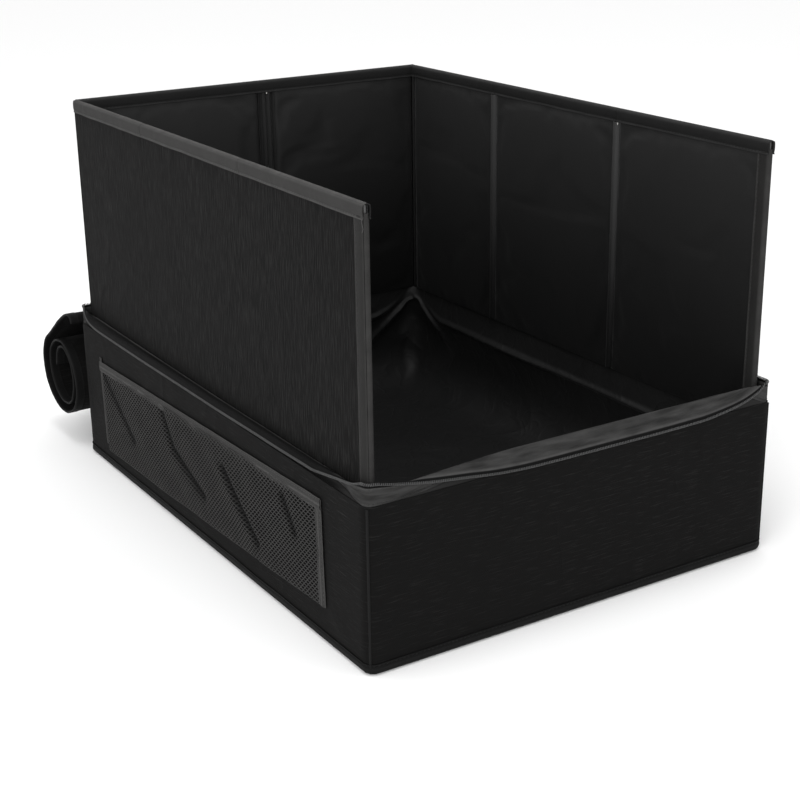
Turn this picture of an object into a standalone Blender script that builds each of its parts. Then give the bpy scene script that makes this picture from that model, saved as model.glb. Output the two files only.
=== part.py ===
"""Foldable litter box: a soft zip-topped tray with a padded three-sided guard that folds away.

Metres, +Z up. The origin is the middle of the tray's underside. The entry side faces -Y, the
mesh pocket is on the -X side and the rolled lid hangs behind the +Y side.
"""

import math

import bmesh
import bpy
from mathutils import Matrix, Vector

MM = 0.001

# Tray
tray_width = 368 * MM
tray_depth = 508 * MM
tray_height = 125 * MM
tray_corner_radius = 7 * MM
tray_fabric = 1.2 * MM
wall_board = 3 * MM
seam_gap = 0.3 * MM

# Trims of the tray
bottom_binding_height = 8 * MM
bottom_binding_lift = 0.6 * MM
binding_thickness = 0.6 * MM
piping_radius = 1 * MM
rim_collar_thickness = 0.8 * MM
rim_collar_height = 0.7 * MM

# Waterproof liner
liner_thickness = 0.8 * MM
liner_clearance = 0.7 * MM
liner_ledge_drop = 15 * MM
liner_ledge_reach = 6 * MM
liner_cove = 42 * MM
liner_fold_depth = 5 * MM
liner_fold_pitch = 22 * MM
liner_corner_radius = 20 * MM

# Zip round the rim
zip_tape_width = 14 * MM
zip_tape_thickness = 0.8 * MM
zip_tape_rise = 1.5 * MM
zip_tape_inset = 1 * MM
zip_turn_over = 78 * MM
zip_left_lean = math.radians(95)
zip_front_lean = math.radians(140)
zip_end_from_corner = 44 * MM
collar_run = 72 * MM
collar_left_rise = 4.5 * MM
collar_left_draw = 5 * MM
collar_front_rise = 12.5 * MM
collar_front_draw = 3 * MM
teeth_radius = 1.2 * MM
stop_length = 4 * MM
stop_thickness = 4.4 * MM

# Slider and pull tab
slider_length = 11 * MM
slider_width = 7.2 * MM
slider_above_teeth = 3 * MM
slider_below_teeth = 4.5 * MM
slider_clearance = 0.5 * MM
slider_park_from_back = 30 * MM
lug_reach = 3.6 * MM
lug_width = 2 * MM
lug_height = 4.6 * MM
lug_bore_radius = 1.1 * MM
pull_width = 7 * MM
pull_length = 26 * MM
pull_thickness = 1 * MM
pull_window_width = 3.8 * MM
pull_window_height = 4.4 * MM

# Mesh pocket on the left side
pocket_length = 404 * MM
pocket_height = 84 * MM
pocket_bottom = 23 * MM
pocket_middle_from_middle = 6 * MM
pocket_tilt = math.radians(1.7)
pocket_stand_off = 1.4 * MM
pocket_binding_width = 9 * MM
net_thickness = 0.8 * MM
net_cells_long = 28
net_cells_high = 5
net_cord_width = 2.6 * MM

# Guard panels
guard_height = 330 * MM
guard_tuck = 20 * MM
guard_inset = 8 * MM
cover_thickness = 0.8 * MM
panel_board = 1.8 * MM
pad_edge = 1.2 * MM
pad_crown = 1.5 * MM
pad_columns = 8
pad_rows = 8
binding_leg = 11 * MM
board_margin = 1 * MM

# Creases of the guard
crease_width = 3 * MM
crease_web = 0.6 * MM
right_corner_gap = 3.8 * MM
fold_clearance = 0.6 * MM
end_clearance = 0.5 * MM
rear_crease_from_front = 355 * MM
front_crease_from_front = 181 * MM
back_crease_width = 17 * MM
back_crease_offset = 10 * MM
welt_radius = 0.9 * MM

# Rolled lid
lid_overhang = 9 * MM
lid_thickness = 2.4 * MM
lid_roll_half_depth = 46 * MM
lid_roll_half_height = 40 * MM
lid_roll_behind = 45.5 * MM
lid_roll_below = 62 * MM
lid_roll_start = math.radians(60)
lid_turns = 2.15
lid_depth_step = 12.5 * MM
lid_height_step = 7.5 * MM
lid_forward_step = 5.5 * MM
lid_upward_step = 3 * MM
lid_lead_up = 19 * MM
lid_lead_out = 5 * MM
lid_lead_pull = 40 * MM
lid_lead_steps = 8
lid_binding_width = 8 * MM
lid_binding_thickness = 3 * MM
lid_hinge_height = 12 * MM
lid_hinge_thickness = 0.8 * MM

weld_distance = 0.01 * MM

# Smoothness of round stretches
corner_steps = 4
turn_steps = 26
rod_sides = 8

# Derived sizes
half_width = tray_width / 2
half_depth = tray_depth / 2
guard_bottom = tray_height - guard_tuck
panel_thickness = cover_thickness + panel_board + pad_edge + 2 * seam_gap
bound_proud = seam_gap + binding_thickness
panel_top = guard_height - bound_proud
wall_skin = tray_fabric + seam_gap + wall_board
outer_x = half_width - guard_inset
outer_y = half_depth - guard_inset
inner_x = outer_x - panel_thickness
inner_y = outer_y - panel_thickness
front_axis_offset = bound_proud + fold_clearance / 2
folded_stack = right_corner_gap + 2 * panel_thickness + 2 * front_axis_offset + pad_crown
left_corner_gap = folded_stack + fold_clearance + pad_crown
rear_crease_y = rear_crease_from_front - half_depth
front_crease_y = front_crease_from_front - half_depth
rim_top = tray_height + seam_gap + rim_collar_thickness + rim_collar_height
zip_end_from_middle = half_width - zip_end_from_corner
base_top = tray_fabric + seam_gap + wall_board

# Colours and surfaces
FABRIC = ("outer_fabric", (0.016, 0.016, 0.017), 0.85, 0.0)
SATIN = ("satin_lining", (0.018, 0.018, 0.019), 0.45, 0.0)
BINDING = ("binding_tape", (0.07, 0.07, 0.072), 0.7, 0.0)
ZIP = ("zip_tape", (0.08, 0.08, 0.082), 0.7, 0.0)
TEETH = ("zip_teeth", (0.02, 0.02, 0.02), 0.35, 0.0)
METAL = ("zip_metal", (0.12, 0.12, 0.12), 0.3, 1.0)
NET = ("pocket_net", (0.04, 0.04, 0.042), 0.8, 0.0)
STIFFENER = ("stiffener_board", (0.35, 0.33, 0.3), 0.8, 0.0)


def material(finish):
    """One Principled material for each finish, made once."""
    name, colour, roughness, metallic = finish
    found = bpy.data.materials.get(name)
    if found:
        return found
    made = bpy.data.materials.new(name)
    made.use_nodes = True
    shader = made.node_tree.nodes["Principled BSDF"]
    shader.inputs["Base Color"].default_value = (*colour, 1)
    shader.inputs["Roughness"].default_value = roughness
    shader.inputs["Metallic"].default_value = metallic
    return made


def collection(name):
    made = bpy.data.collections.new(name)
    bpy.context.scene.collection.children.link(made)
    return made


def add(name, data, finish, parent=None, at=(0, 0, 0), turn=0.0, group=None):
    """Link an object, give it its finish, and hang it on its parent at a world place."""
    made = bpy.data.objects.new(name, data)
    (group or parts).objects.link(made)
    if finish:
        data.materials.append(material(finish))
    made.rotation_euler.z = turn
    made.location = Vector(at)
    if parent:
        made.parent = parent
        made.location = Vector(at) - axis_places[parent.name]
    return made


def axis(name, place, parent=None):
    """An empty on a joint's axis, which carries the pieces that turn or slide about it."""
    made = bpy.data.objects.new(name, None)
    parts.objects.link(made)
    axis_places[name] = Vector(place)
    made.location = Vector(place)
    if parent:
        made.parent = parent
        made.location = Vector(place) - axis_places[parent.name]
    return made


def box_mesh(name, low, high):
    mesh = bpy.data.meshes.new(name)
    form = bmesh.new()
    low, high = Vector(low), Vector(high)
    place = Matrix.Translation((low + high) / 2) @ Matrix.Diagonal((*(high - low), 1))
    bmesh.ops.create_cube(form, size=1, matrix=place)
    form.to_mesh(mesh)
    form.free()
    return mesh


def rod_mesh(name, start, end, radius, sides):
    mesh = bpy.data.meshes.new(name)
    form = bmesh.new()
    start, end = Vector(start), Vector(end)
    run = end - start
    place = Matrix.Translation((start + end) / 2) @ run.to_track_quat("Z", "Y").to_matrix().to_4x4()
    bmesh.ops.create_cone(
        form,
        cap_ends=True,
        segments=sides,
        radius1=radius,
        radius2=radius,
        depth=run.length,
        matrix=place,
    )
    form.to_mesh(mesh)
    form.free()
    mesh.shade_smooth()
    mesh.set_sharp_from_angle(angle=math.radians(40))
    return mesh


def outline_curve(name, outlines, thickness):
    """A flat outline, with any further outlines as its holes, given its thickness."""
    curve = bpy.data.curves.new(name, "CURVE")
    curve.dimensions = "2D"
    curve.fill_mode = "BOTH"
    curve.extrude = thickness / 2
    for points in outlines:
        spline = curve.splines.new("POLY")
        spline.points.add(len(points) - 1)
        for point, place in zip(spline.points, points):
            point.co = (place[0], place[1], 0, 1)
        spline.use_cyclic_u = True
    return curve


def as_mesh(made):
    """The same object as a mesh with its caps welded, so that it can be cut or joined."""
    depsgraph = bpy.context.evaluated_depsgraph_get()
    mesh = bpy.data.meshes.new_from_object(made.evaluated_get(depsgraph))
    form = bmesh.new()
    form.from_mesh(mesh)
    bmesh.ops.remove_doubles(form, verts=form.verts, dist=weld_distance)
    form.to_mesh(mesh)
    form.free()
    name = made.name
    place = made.matrix_world.copy()
    bpy.data.objects.remove(made)
    meshed = bpy.data.objects.new(name, mesh)
    parts.objects.link(meshed)
    meshed.matrix_world = place
    return meshed


def combine(target, tools, operation):
    for tool in tools:
        tool.hide_render = True
        tool.display_type = "WIRE"
        modifier = target.modifiers.new(operation.lower(), "BOOLEAN")
        modifier.operation = operation
        modifier.solver = "EXACT"
        modifier.object = tool


def join(target, tools):
    combine(target, tools, "UNION")


def cut(target, tools):
    combine(target, tools, "DIFFERENCE")


def rounded_rectangle(width, depth, radius):
    """Corner arcs of a rounded rectangle, counterclockwise from its +X+Y corner."""
    points = []
    for corner, (side_x, side_y) in enumerate(((1, 1), (-1, 1), (-1, -1), (1, -1))):
        centre = Vector((side_x * (width / 2 - radius), side_y * (depth / 2 - radius)))
        for step in range(corner_steps + 1):
            angle = math.radians(90) * (corner + step / corner_steps)
            points.append(centre + radius * Vector((math.cos(angle), math.sin(angle))))
    return points


def perimeter(width, depth, radius, across, along):
    """Places and outward directions round a rounded rectangle.

    It runs from the middle of the back to the back left corner, and on round the left, front
    and right sides, with across and along steps on the short and long sides.
    """
    half_x, half_y = width / 2 - radius, depth / 2 - radius
    corners = [
        (Vector((-half_x, half_y)), 90),
        (Vector((-half_x, -half_y)), 180),
        (Vector((half_x, -half_y)), 270),
        (Vector((half_x, half_y)), 0),
    ]
    samples = []
    back = Vector((0, 1))
    for step in range(across // 2):
        samples.append((Vector((-half_x * step / (across // 2), depth / 2)), back))
    for index, (centre, start) in enumerate(corners):
        for step in range(corner_steps + 1):
            angle = math.radians(start + 90 * step / corner_steps)
            out = Vector((math.cos(angle), math.sin(angle)))
            samples.append((centre + radius * out, out))
        if index == len(corners) - 1:
            break
        here = samples[-1][0]
        out = samples[-1][1]
        there = corners[index + 1][0] + radius * out
        steps = along if index % 2 == 0 else across
        for step in range(1, steps):
            samples.append((here.lerp(there, step / steps), out))
    for step in range(1, across // 2):
        samples.append((Vector((half_x * (1 - step / (across // 2)), depth / 2)), back))
    return samples


def sheet_mesh(name, rows, closed_rows=False, filled=False):
    """A sheet lofted through rows of points; closed rows join their ends.

    A filled sheet goes on from the last row to that row's middle.
    """
    mesh = bpy.data.meshes.new(name)
    form = bmesh.new()
    grid = [[form.verts.new(point) for point in row] for row in rows]
    for upper, lower in zip(grid, grid[1:]):
        count = len(upper)
        for index in range(count if closed_rows else count - 1):
            after = (index + 1) % count
            form.faces.new((upper[index], upper[after], lower[after], lower[index]))
    if filled:
        bmesh.ops.poke(form, faces=[form.faces.new(grid[-1])])
    bmesh.ops.recalc_face_normals(form, faces=form.faces)
    form.to_mesh(mesh)
    form.free()
    mesh.shade_smooth()
    return mesh


def thicken(made, thickness):
    modifier = made.modifiers.new("thickness", "SOLIDIFY")
    modifier.thickness = thickness
    modifier.offset = 0
    modifier.use_even_offset = True
    return made


def ease(value):
    value = max(0.0, min(1.0, value))
    return value * value * (3 - 2 * value)


# Tray


def corner_pipings():
    """Piping sewn up the four corner seams of the outer wall, above the bottom binding."""
    low = bottom_binding_lift + bottom_binding_height + seam_gap
    slant = tray_corner_radius * math.sqrt(0.5)
    rods = []
    for side_x, side_y in ((1, 1), (-1, 1), (-1, -1), (1, -1)):
        x = side_x * (half_width - tray_corner_radius + slant)
        y = side_y * (half_depth - tray_corner_radius + slant)
        foot, head = (x, y, low), (x, y, tray_height - seam_gap)
        rod = rod_mesh("piping", foot, head, piping_radius, rod_sides)
        rods.append(add("piping", rod, None, group=cutters))
    return rods


def make_tray():
    wall_low = tray_fabric + seam_gap
    outer = rounded_rectangle(tray_width, tray_depth, tray_corner_radius)
    inner_radius = tray_corner_radius - tray_fabric
    inner = rounded_rectangle(
        tray_width - 2 * tray_fabric, tray_depth - 2 * tray_fabric, inner_radius
    )
    bottom = outline_curve("tray_bottom", [outer], tray_fabric)
    add("tray_bottom", bottom, FABRIC, at=(0, 0, tray_fabric / 2))
    wall_height = tray_height - wall_low
    walls = outline_curve("tray_walls", [outer, inner], wall_height)
    walls = as_mesh(add("tray_walls", walls, FABRIC, at=(0, 0, wall_low + wall_height / 2)))
    join(walls, corner_pipings())

    skin = tray_fabric + seam_gap
    base_low = tray_fabric + seam_gap
    base_x, base_y = half_width - skin, half_depth - skin
    base = rounded_rectangle(2 * base_x, 2 * base_y, inner_radius)
    base_curve = outline_curve("base_board", [base], wall_board)
    add("base_board", base_curve, STIFFENER, at=(0, 0, base_low + wall_board / 2))

    low, high = base_top + seam_gap, tray_height
    face_x, face_y = half_width - skin, half_depth - skin
    long_y = half_depth - tray_corner_radius
    short_x = half_width - tray_corner_radius
    for side, sign in (("left_board", -1), ("right_board", 1)):
        near, far = sorted((sign * (face_x - wall_board), sign * face_x))
        add(side, box_mesh(side, (near, -long_y, low), (far, long_y, high)), STIFFENER)
    for side, sign in (("front_board", -1), ("back_board", 1)):
        near, far = sorted((sign * (face_y - wall_board), sign * face_y))
        add(side, box_mesh(side, (-short_x, near, low), (short_x, far, high)), STIFFENER)


def make_tray_trims():
    reach = seam_gap + binding_thickness
    outer = rounded_rectangle(
        tray_width + 2 * reach, tray_depth + 2 * reach, tray_corner_radius + reach
    )
    inner = rounded_rectangle(
        tray_width + 2 * seam_gap, tray_depth + 2 * seam_gap, tray_corner_radius + seam_gap
    )
    band = outline_curve("bottom_binding", [outer, inner], bottom_binding_height)
    middle = bottom_binding_lift + bottom_binding_height / 2
    add("bottom_binding", band, BINDING, at=(0, 0, middle))


def make_liner():
    """Loose floor and skirt: hem under the guard, a ledge fold, corner folds and a coved foot."""
    hem_x = (outer_x + inner_x) / 2
    wall_x = half_width - wall_skin - liner_clearance - liner_thickness / 2
    wall_y = half_depth - wall_skin - liner_clearance - liner_thickness / 2
    hem_z = guard_bottom - seam_gap - liner_thickness / 2
    floor_z = base_top + seam_gap + liner_thickness / 2
    front_hem_z = tray_height - seam_gap
    ledge_z = guard_bottom - liner_ledge_drop
    recess_z = ledge_z - liner_ledge_drop
    across, along = 10, 14
    cove_z_shares = (0.62, 0.28, 0.0)
    cove_reach_shares = (0.12, 0.42, 1.0)

    def raised(place):
        """How far the hem rises to the front rim: none at the sides, all along the front."""
        if not on_front(place):
            return 0.0
        return ease((wall_x - liner_corner_radius - abs(place.x)) / liner_corner_radius)

    def on_front(place):
        return place.y < -wall_y + liner_clearance

    def fold(place, depth_share):
        """Folds that spread from the back corners and die out along the walls."""
        from_corner = (wall_x - abs(place.x)) + (wall_y - place.y)
        fade = math.exp(-((from_corner / (4 * liner_fold_pitch)) ** 2))
        wave = math.cos(math.tau * (from_corner / liner_fold_pitch - 2 * depth_share))
        return liner_fold_depth * fade * (0.5 + 0.5 * wave) * math.sin(math.pi * depth_share)

    def ring(height_of, inset_of, depth_share, drawn_in=0.0):
        """A row round the liner, drawn in as a whole and then inset place by place."""
        width, depth = 2 * (wall_x - drawn_in), 2 * (wall_y - drawn_in)
        row = []
        for place, out in perimeter(width, depth, liner_corner_radius, across, along):
            inset = inset_of(place) + fold(place, depth_share)
            spot = place - out * inset
            row.append((spot.x, spot.y, height_of(place)))
        return row

    def hem_height(place):
        return hem_z + (front_hem_z - hem_z) * raised(place)

    def no_inset(place):
        return 0.0

    def hem_inset(place):
        return 0.0 if on_front(place) else wall_x - hem_x

    def ledge_inset(place):
        away = 0.2 if on_front(place) else 1.0
        return (wall_x - hem_x + liner_ledge_reach) * away

    rows = [
        ring(hem_height, hem_inset, 0.0),
        ring(lambda place: ledge_z, ledge_inset, 0.3),
        ring(lambda place: recess_z, no_inset, 0.5),
        ring(lambda place: floor_z + liner_cove, no_inset, 0.7),
    ]
    for z_share, reach_share in zip(cove_z_shares, cove_reach_shares):
        height = floor_z + liner_cove * z_share
        depth_share = 0.85 if z_share else 0.0
        rows.append(ring(lambda place: height, no_inset, depth_share, liner_cove * reach_share))
    liner = add("waterproof_liner", sheet_mesh("waterproof_liner", rows, True, True), SATIN)
    thicken(liner, liner_thickness)


# Rim collar and zip


def rim_samples():
    """Places along the rim, the collar's top edge there, the outward way and the tape's lean.

    At the corners the collar is low and the tape stands up. Along the front and left sides the
    collar is drawn up and in, towards the guard, and the tape leans out from it.
    """
    low = tray_height + seam_gap + rim_collar_thickness / 2
    width, depth = tray_width - 2 * zip_tape_inset, tray_depth - 2 * zip_tape_inset
    samples = []
    for place, out in perimeter(width, depth, tray_corner_radius - zip_tape_inset, 30, 38):
        rise = draw = lean = 0.0
        if out.x < -0.999:
            from_corner = half_depth - abs(place.y)
            rise, draw, lean = collar_left_rise, collar_left_draw, zip_left_lean
        if out.y < -0.999:
            from_corner = half_width - abs(place.x)
            rise, draw, lean = collar_front_rise, collar_front_draw, zip_front_lean
        if lean:
            grown = ease(from_corner / collar_run)
            rise, draw = rise * grown, draw * grown
            lean *= ease(from_corner / zip_turn_over)
        edge = Vector((place.x, place.y, low))
        foot = Vector((place.x - out.x * draw, place.y - out.y * draw, rim_top + rise))
        samples.append((edge, foot, out, lean))
    return samples


def make_collar():
    """Soft strip over the boards' tops, which the zip tape and the guard pull up."""
    board_edge = wall_skin - zip_tape_inset - rim_collar_thickness
    samples = rim_samples()
    inside = [edge - Vector((*out, 0)) * board_edge for edge, foot, out, lean in samples]
    rows = [inside, [sample[0] for sample in samples], [sample[1] for sample in samples]]
    collar = add("rim_collar", sheet_mesh("rim_collar", rows, True), FABRIC)
    thicken(collar, rim_collar_thickness)


def zip_samples():
    """The tape's feet, outward ways and leans: all round the rim but the middle of the back."""
    back = half_depth - zip_tape_inset - seam_gap
    return [
        (foot + Vector((0, 0, seam_gap)), out, lean)
        for edge, foot, out, lean in rim_samples()
        if edge.y < back or abs(edge.x) > zip_end_from_middle
    ]


def along_lean(foot, out, lean, distance):
    """A point on the tape, distance up from its foot; past the rise it leans outwards."""
    rise = min(distance, zip_tape_rise)
    rest = distance - rise
    lean_way = Vector((out.x * math.sin(lean), out.y * math.sin(lean), math.cos(lean)))
    return foot + Vector((0, 0, rise)) + lean_way * rest


def make_zip():
    samples = zip_samples()
    rows = []
    for distance in (0, zip_tape_rise, zip_tape_width):
        rows.append([along_lean(*sample, distance) for sample in samples])
    tape = add("zip_tape", sheet_mesh("zip_tape", rows), ZIP)
    thicken(tape, zip_tape_thickness)

    line = [along_lean(*sample, teeth_line) for sample in samples]
    curve = bpy.data.curves.new("zip_teeth", "CURVE")
    curve.dimensions = "3D"
    curve.bevel_depth = teeth_radius
    curve.bevel_resolution = 1
    curve.use_fill_caps = True
    spline = curve.splines.new("POLY")
    spline.points.add(len(line) - 1)
    for point, place in zip(spline.points, line):
        point.co = (*place, 1)
    add("zip_teeth", curve, TEETH)

    for name, end, sign in (("zip_left_stop", line[0], 1), ("zip_right_stop", line[-1], -1)):
        near = end.x + sign * seam_gap
        far = near + sign * stop_length
        low = (min(near, far), end.y - stop_thickness / 2, end.z - stop_thickness / 2)
        high = (max(near, far), end.y + stop_thickness / 2, end.z + stop_thickness / 2)
        add(name, box_mesh(name, low, high), METAL)


def make_slider():
    """Slider on the right side's upright tape, with a pull tab that hangs from its lug."""
    x = half_width - zip_tape_inset
    y = half_depth - slider_park_from_back
    z = rim_top + seam_gap + teeth_line
    travel = axis("zip_slider_travel", (x, y, z))
    low = (-slider_width / 2, -slider_length / 2, -slider_below_teeth)
    high = (slider_width / 2, slider_length / 2, slider_above_teeth)
    slider = add("zip_slider", box_mesh("zip_slider", low, high), METAL, travel, (x, y, z))

    groove = teeth_radius + slider_clearance
    slot = zip_tape_thickness / 2 + slider_clearance
    overrun = slider_length
    channel = box_mesh("channel", (-groove, -overrun, -groove), (groove, overrun, groove))
    mouth = box_mesh("mouth", (-slot, -overrun, -overrun), (slot, overrun, 0))
    bore_x = slider_width / 2 + lug_reach / 2
    lug_low = (slider_width / 2 - slider_clearance, -lug_width / 2, -lug_height / 2)
    lug_high = (slider_width / 2 + lug_reach, lug_width / 2, lug_height / 2)
    lug = add("lug", box_mesh("lug", lug_low, lug_high), None, travel, (x, y, z), 0, cutters)
    join(slider, [lug])
    bore = rod_mesh("bore", (bore_x, -overrun, 0), (bore_x, overrun, 0), lug_bore_radius, 12)
    tools = [
        add(tool.name, tool, None, travel, (x, y, z), 0, cutters)
        for tool in (channel, mouth, bore)
    ]
    cut(slider, tools)

    hinge = axis("zip_pull_hinge", (x + bore_x, y, z), travel)
    half = pull_thickness / 2
    low = (-half, -pull_width / 2, -pull_length)
    high = (half, pull_width / 2, half)
    place = (x + bore_x, y, z)
    pull = add("zip_pull", box_mesh("zip_pull", low, high), METAL, hinge, place)
    low = (-pull_width, -pull_window_width / 2, -pull_window_height - half)
    high = (pull_width, pull_window_width / 2, -half)
    window = add("window", box_mesh("window", low, high), None, hinge, place, 0, cutters)
    cut(pull, [window])


# Pocket


def make_pocket():
    """Net sewn flat on the left wall, its top and ends bound with tape."""
    outside = -half_width - pocket_stand_off
    middle = Vector((outside, pocket_middle_from_middle, pocket_bottom + pocket_height / 2))
    upright = Matrix.Rotation(math.radians(90), 4, "X")
    tilt = Matrix.Rotation(-pocket_tilt, 4, "X")
    stand = tilt @ Matrix.Rotation(math.radians(-90), 4, "Z") @ upright
    net_length = pocket_length - 2 * pocket_binding_width - 2 * seam_gap
    net_height = pocket_height - pocket_binding_width - seam_gap
    net = bpy.data.meshes.new("mesh_pocket")
    form = bmesh.new()
    bmesh.ops.create_grid(
        form, x_segments=net_cells_long, y_segments=net_cells_high, size=0.5
    )
    bmesh.ops.scale(form, vec=(net_length, net_height, 1), verts=form.verts)
    inset = bmesh.ops.inset_individual(form, faces=form.faces[:], thickness=net_cord_width / 2)
    cells = [face for face in form.faces if face not in set(inset["faces"])]
    bmesh.ops.delete(form, geom=cells, context="FACES_ONLY")
    lower = Matrix.Translation((0, -(pocket_binding_width + seam_gap) / 2, 0))
    place = Matrix.Translation(middle) @ stand @ lower
    bmesh.ops.transform(form, matrix=place, verts=form.verts)
    form.to_mesh(net)
    form.free()
    made = add("mesh_pocket", net, NET)
    thicken(made, net_thickness)

    half_long, half_high = pocket_length / 2, pocket_height / 2
    inner_long = half_long - pocket_binding_width
    inner_high = half_high - pocket_binding_width
    frame = [
        (-half_long, -half_high),
        (-inner_long, -half_high),
        (-inner_long, inner_high),
        (inner_long, inner_high),
        (inner_long, -half_high),
        (half_long, -half_high),
        (half_long, half_high),
        (-half_long, half_high),
    ]
    frame_thickness = pocket_stand_off
    binding = outline_curve("pocket_binding", [frame], frame_thickness)
    made = add("pocket_binding", binding, BINDING, at=middle)
    made.rotation_euler = stand.to_euler()


# Guard


def panel_frame(side, along_from, along_to):
    """Where a panel's own frame stands: X along the wall, -Y towards the inside, Z up.

    The frame's origin is on the outer face, in the middle of the panel's length.
    """
    middle = (along_from + along_to) / 2
    if side == "back":
        return (middle, outer_y, 0), 0.0
    if side == "right":
        return (outer_x, middle, 0), math.radians(-90)
    return (-outer_x, middle, 0), math.radians(90)


def stations(start, end, edge, steps):
    """Places from start to end and their shares, closer at both; an edge past the end is last."""
    spread = steps if edge == end else steps - 1
    places = []
    for step in range(spread + 1):
        share = (1 - math.cos(math.pi * step / spread)) / 2
        places.append((start + (end - start) * share, share))
    if edge != end:
        places.append((edge, 1.0))
    return places


def pad_mesh(name, length, front_end):
    """A cushion that is flat behind and crowned in front, but not under the bindings."""
    mesh = bpy.data.meshes.new(name)
    form = bmesh.new()
    bmesh.ops.create_grid(form, x_segments=pad_columns, y_segments=pad_rows, size=0.5)
    back_y = -(cover_thickness + panel_board + 2 * seam_gap)
    face_y = back_y - pad_edge
    flat = binding_leg + seam_gap
    end = length / 2
    columns = stations(-end, end - flat if front_end else end, end, pad_columns)
    rows = stations(guard_bottom, guard_height - flat, panel_top, pad_rows)
    mirror = front_end or 1
    for vertex in form.verts:
        x, across = columns[round((vertex.co.x + 0.5) * pad_columns)]
        z, up = rows[round((vertex.co.y + 0.5) * pad_rows)]
        lift = (1 - (2 * across - 1) ** 4) * (1 - (2 * up - 1) ** 4)
        vertex.co = (mirror * x, face_y - pad_crown * lift, z)
    front = form.faces[:]
    grown = bmesh.ops.extrude_face_region(form, geom=front)
    for part in grown["geom"]:
        if isinstance(part, bmesh.types.BMVert):
            part.co.y = back_y
    flat_faces = [part for part in grown["geom"] if isinstance(part, bmesh.types.BMFace)]
    bmesh.ops.dissolve_faces(form, faces=flat_faces)
    bmesh.ops.recalc_face_normals(form, faces=form.faces)
    form.to_mesh(mesh)
    form.free()
    mesh.shade_smooth()
    mesh.set_sharp_from_angle(angle=math.radians(40))
    return mesh


def channel_outline():
    """Section of a binding folded over an edge: its two legs and the turn between them."""
    outer = bound_proud
    inner = -panel_thickness - bound_proud
    return [
        (outer, 0),
        (outer, -binding_leg),
        (outer - binding_thickness, -binding_leg),
        (outer - binding_thickness, -binding_thickness),
        (inner + binding_thickness, -binding_thickness),
        (inner + binding_thickness, -binding_leg),
        (inner, -binding_leg),
        (inner, 0),
    ]


def channel_mesh(name, length, place):
    """The binding's section drawn out along a length, its turn at the given place."""
    outline = [Vector((0, y, z)) for y, z in channel_outline()]
    mesh = bpy.data.meshes.new(name)
    form = bmesh.new()
    corners = [form.verts.new(point - Vector((length / 2, 0, 0))) for point in outline]
    face = form.faces.new(corners)
    grown = bmesh.ops.extrude_face_region(form, geom=[face])
    moved = [part for part in grown["geom"] if isinstance(part, bmesh.types.BMVert)]
    bmesh.ops.translate(form, vec=(length, 0, 0), verts=moved)
    bmesh.ops.recalc_face_normals(form, faces=form.faces)
    form.transform(place)
    form.to_mesh(mesh)
    form.free()
    return mesh


def make_binding(name, length, parent, place, turn, front_end):
    """Binding over a panel's top; on a front panel it also runs down the front edge.

    front_end is 0, or the side of the panel's own X axis that its free edge is on.
    """
    over = bound_proud if front_end else 0
    top_place = Matrix.Translation((front_end * over / 2, 0, guard_height))
    mesh = channel_mesh(name, length + over, top_place)
    made = add(name, mesh, BINDING, parent, place, turn)
    if not front_end:
        return
    drop = guard_height - guard_bottom
    edge_x = front_end * (length / 2 + bound_proud)
    tip = Matrix.Rotation(math.radians(90) * front_end, 4, "Y")
    upright = Matrix.Translation((edge_x, 0, guard_height - drop / 2)) @ tip
    edge = channel_mesh("edge", drop, upright)
    join(made, [add("edge", edge, None, parent, place, turn, cutters)])


def make_panel(name, side, along_from, along_to, parent=None, front_end=0, with_cover=True):
    """One guard panel: outer cover, board, padded inner cover and the binding on its edges."""
    place, turn = panel_frame(side, along_from, along_to)
    length = abs(along_to - along_from)
    if with_cover:
        low = (-length / 2, -cover_thickness, guard_bottom)
        high = (length / 2, 0, panel_top)
        cover = box_mesh(name + "_cover", low, high)
        add(name + "_cover", cover, FABRIC, parent, place, turn)
        make_binding(name + "_binding", length, parent, place, turn, front_end)
    board_y = -(cover_thickness + seam_gap)
    half = length / 2 - board_margin
    low = (-half, board_y - panel_board, guard_bottom + board_margin)
    high = (half, board_y, panel_top - board_margin)
    add(name + "_board", box_mesh(name + "_board", low, high), STIFFENER, parent, place, turn)
    pad = pad_mesh(name + "_pad", length, front_end)
    add(name + "_pad", pad, SATIN, parent, place, turn)


def make_web(name, side, along, width, from_outer, thickness, parent=None):
    """A strip of crease fabric, from_outer inside the guard's outer face."""
    place, turn = panel_frame(side, along, along)
    low = (-width / 2, -from_outer - thickness, guard_bottom + board_margin)
    high = (width / 2, -from_outer, panel_top - board_margin)
    add(name, box_mesh(name, low, high), FABRIC, parent, place, turn)


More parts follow.
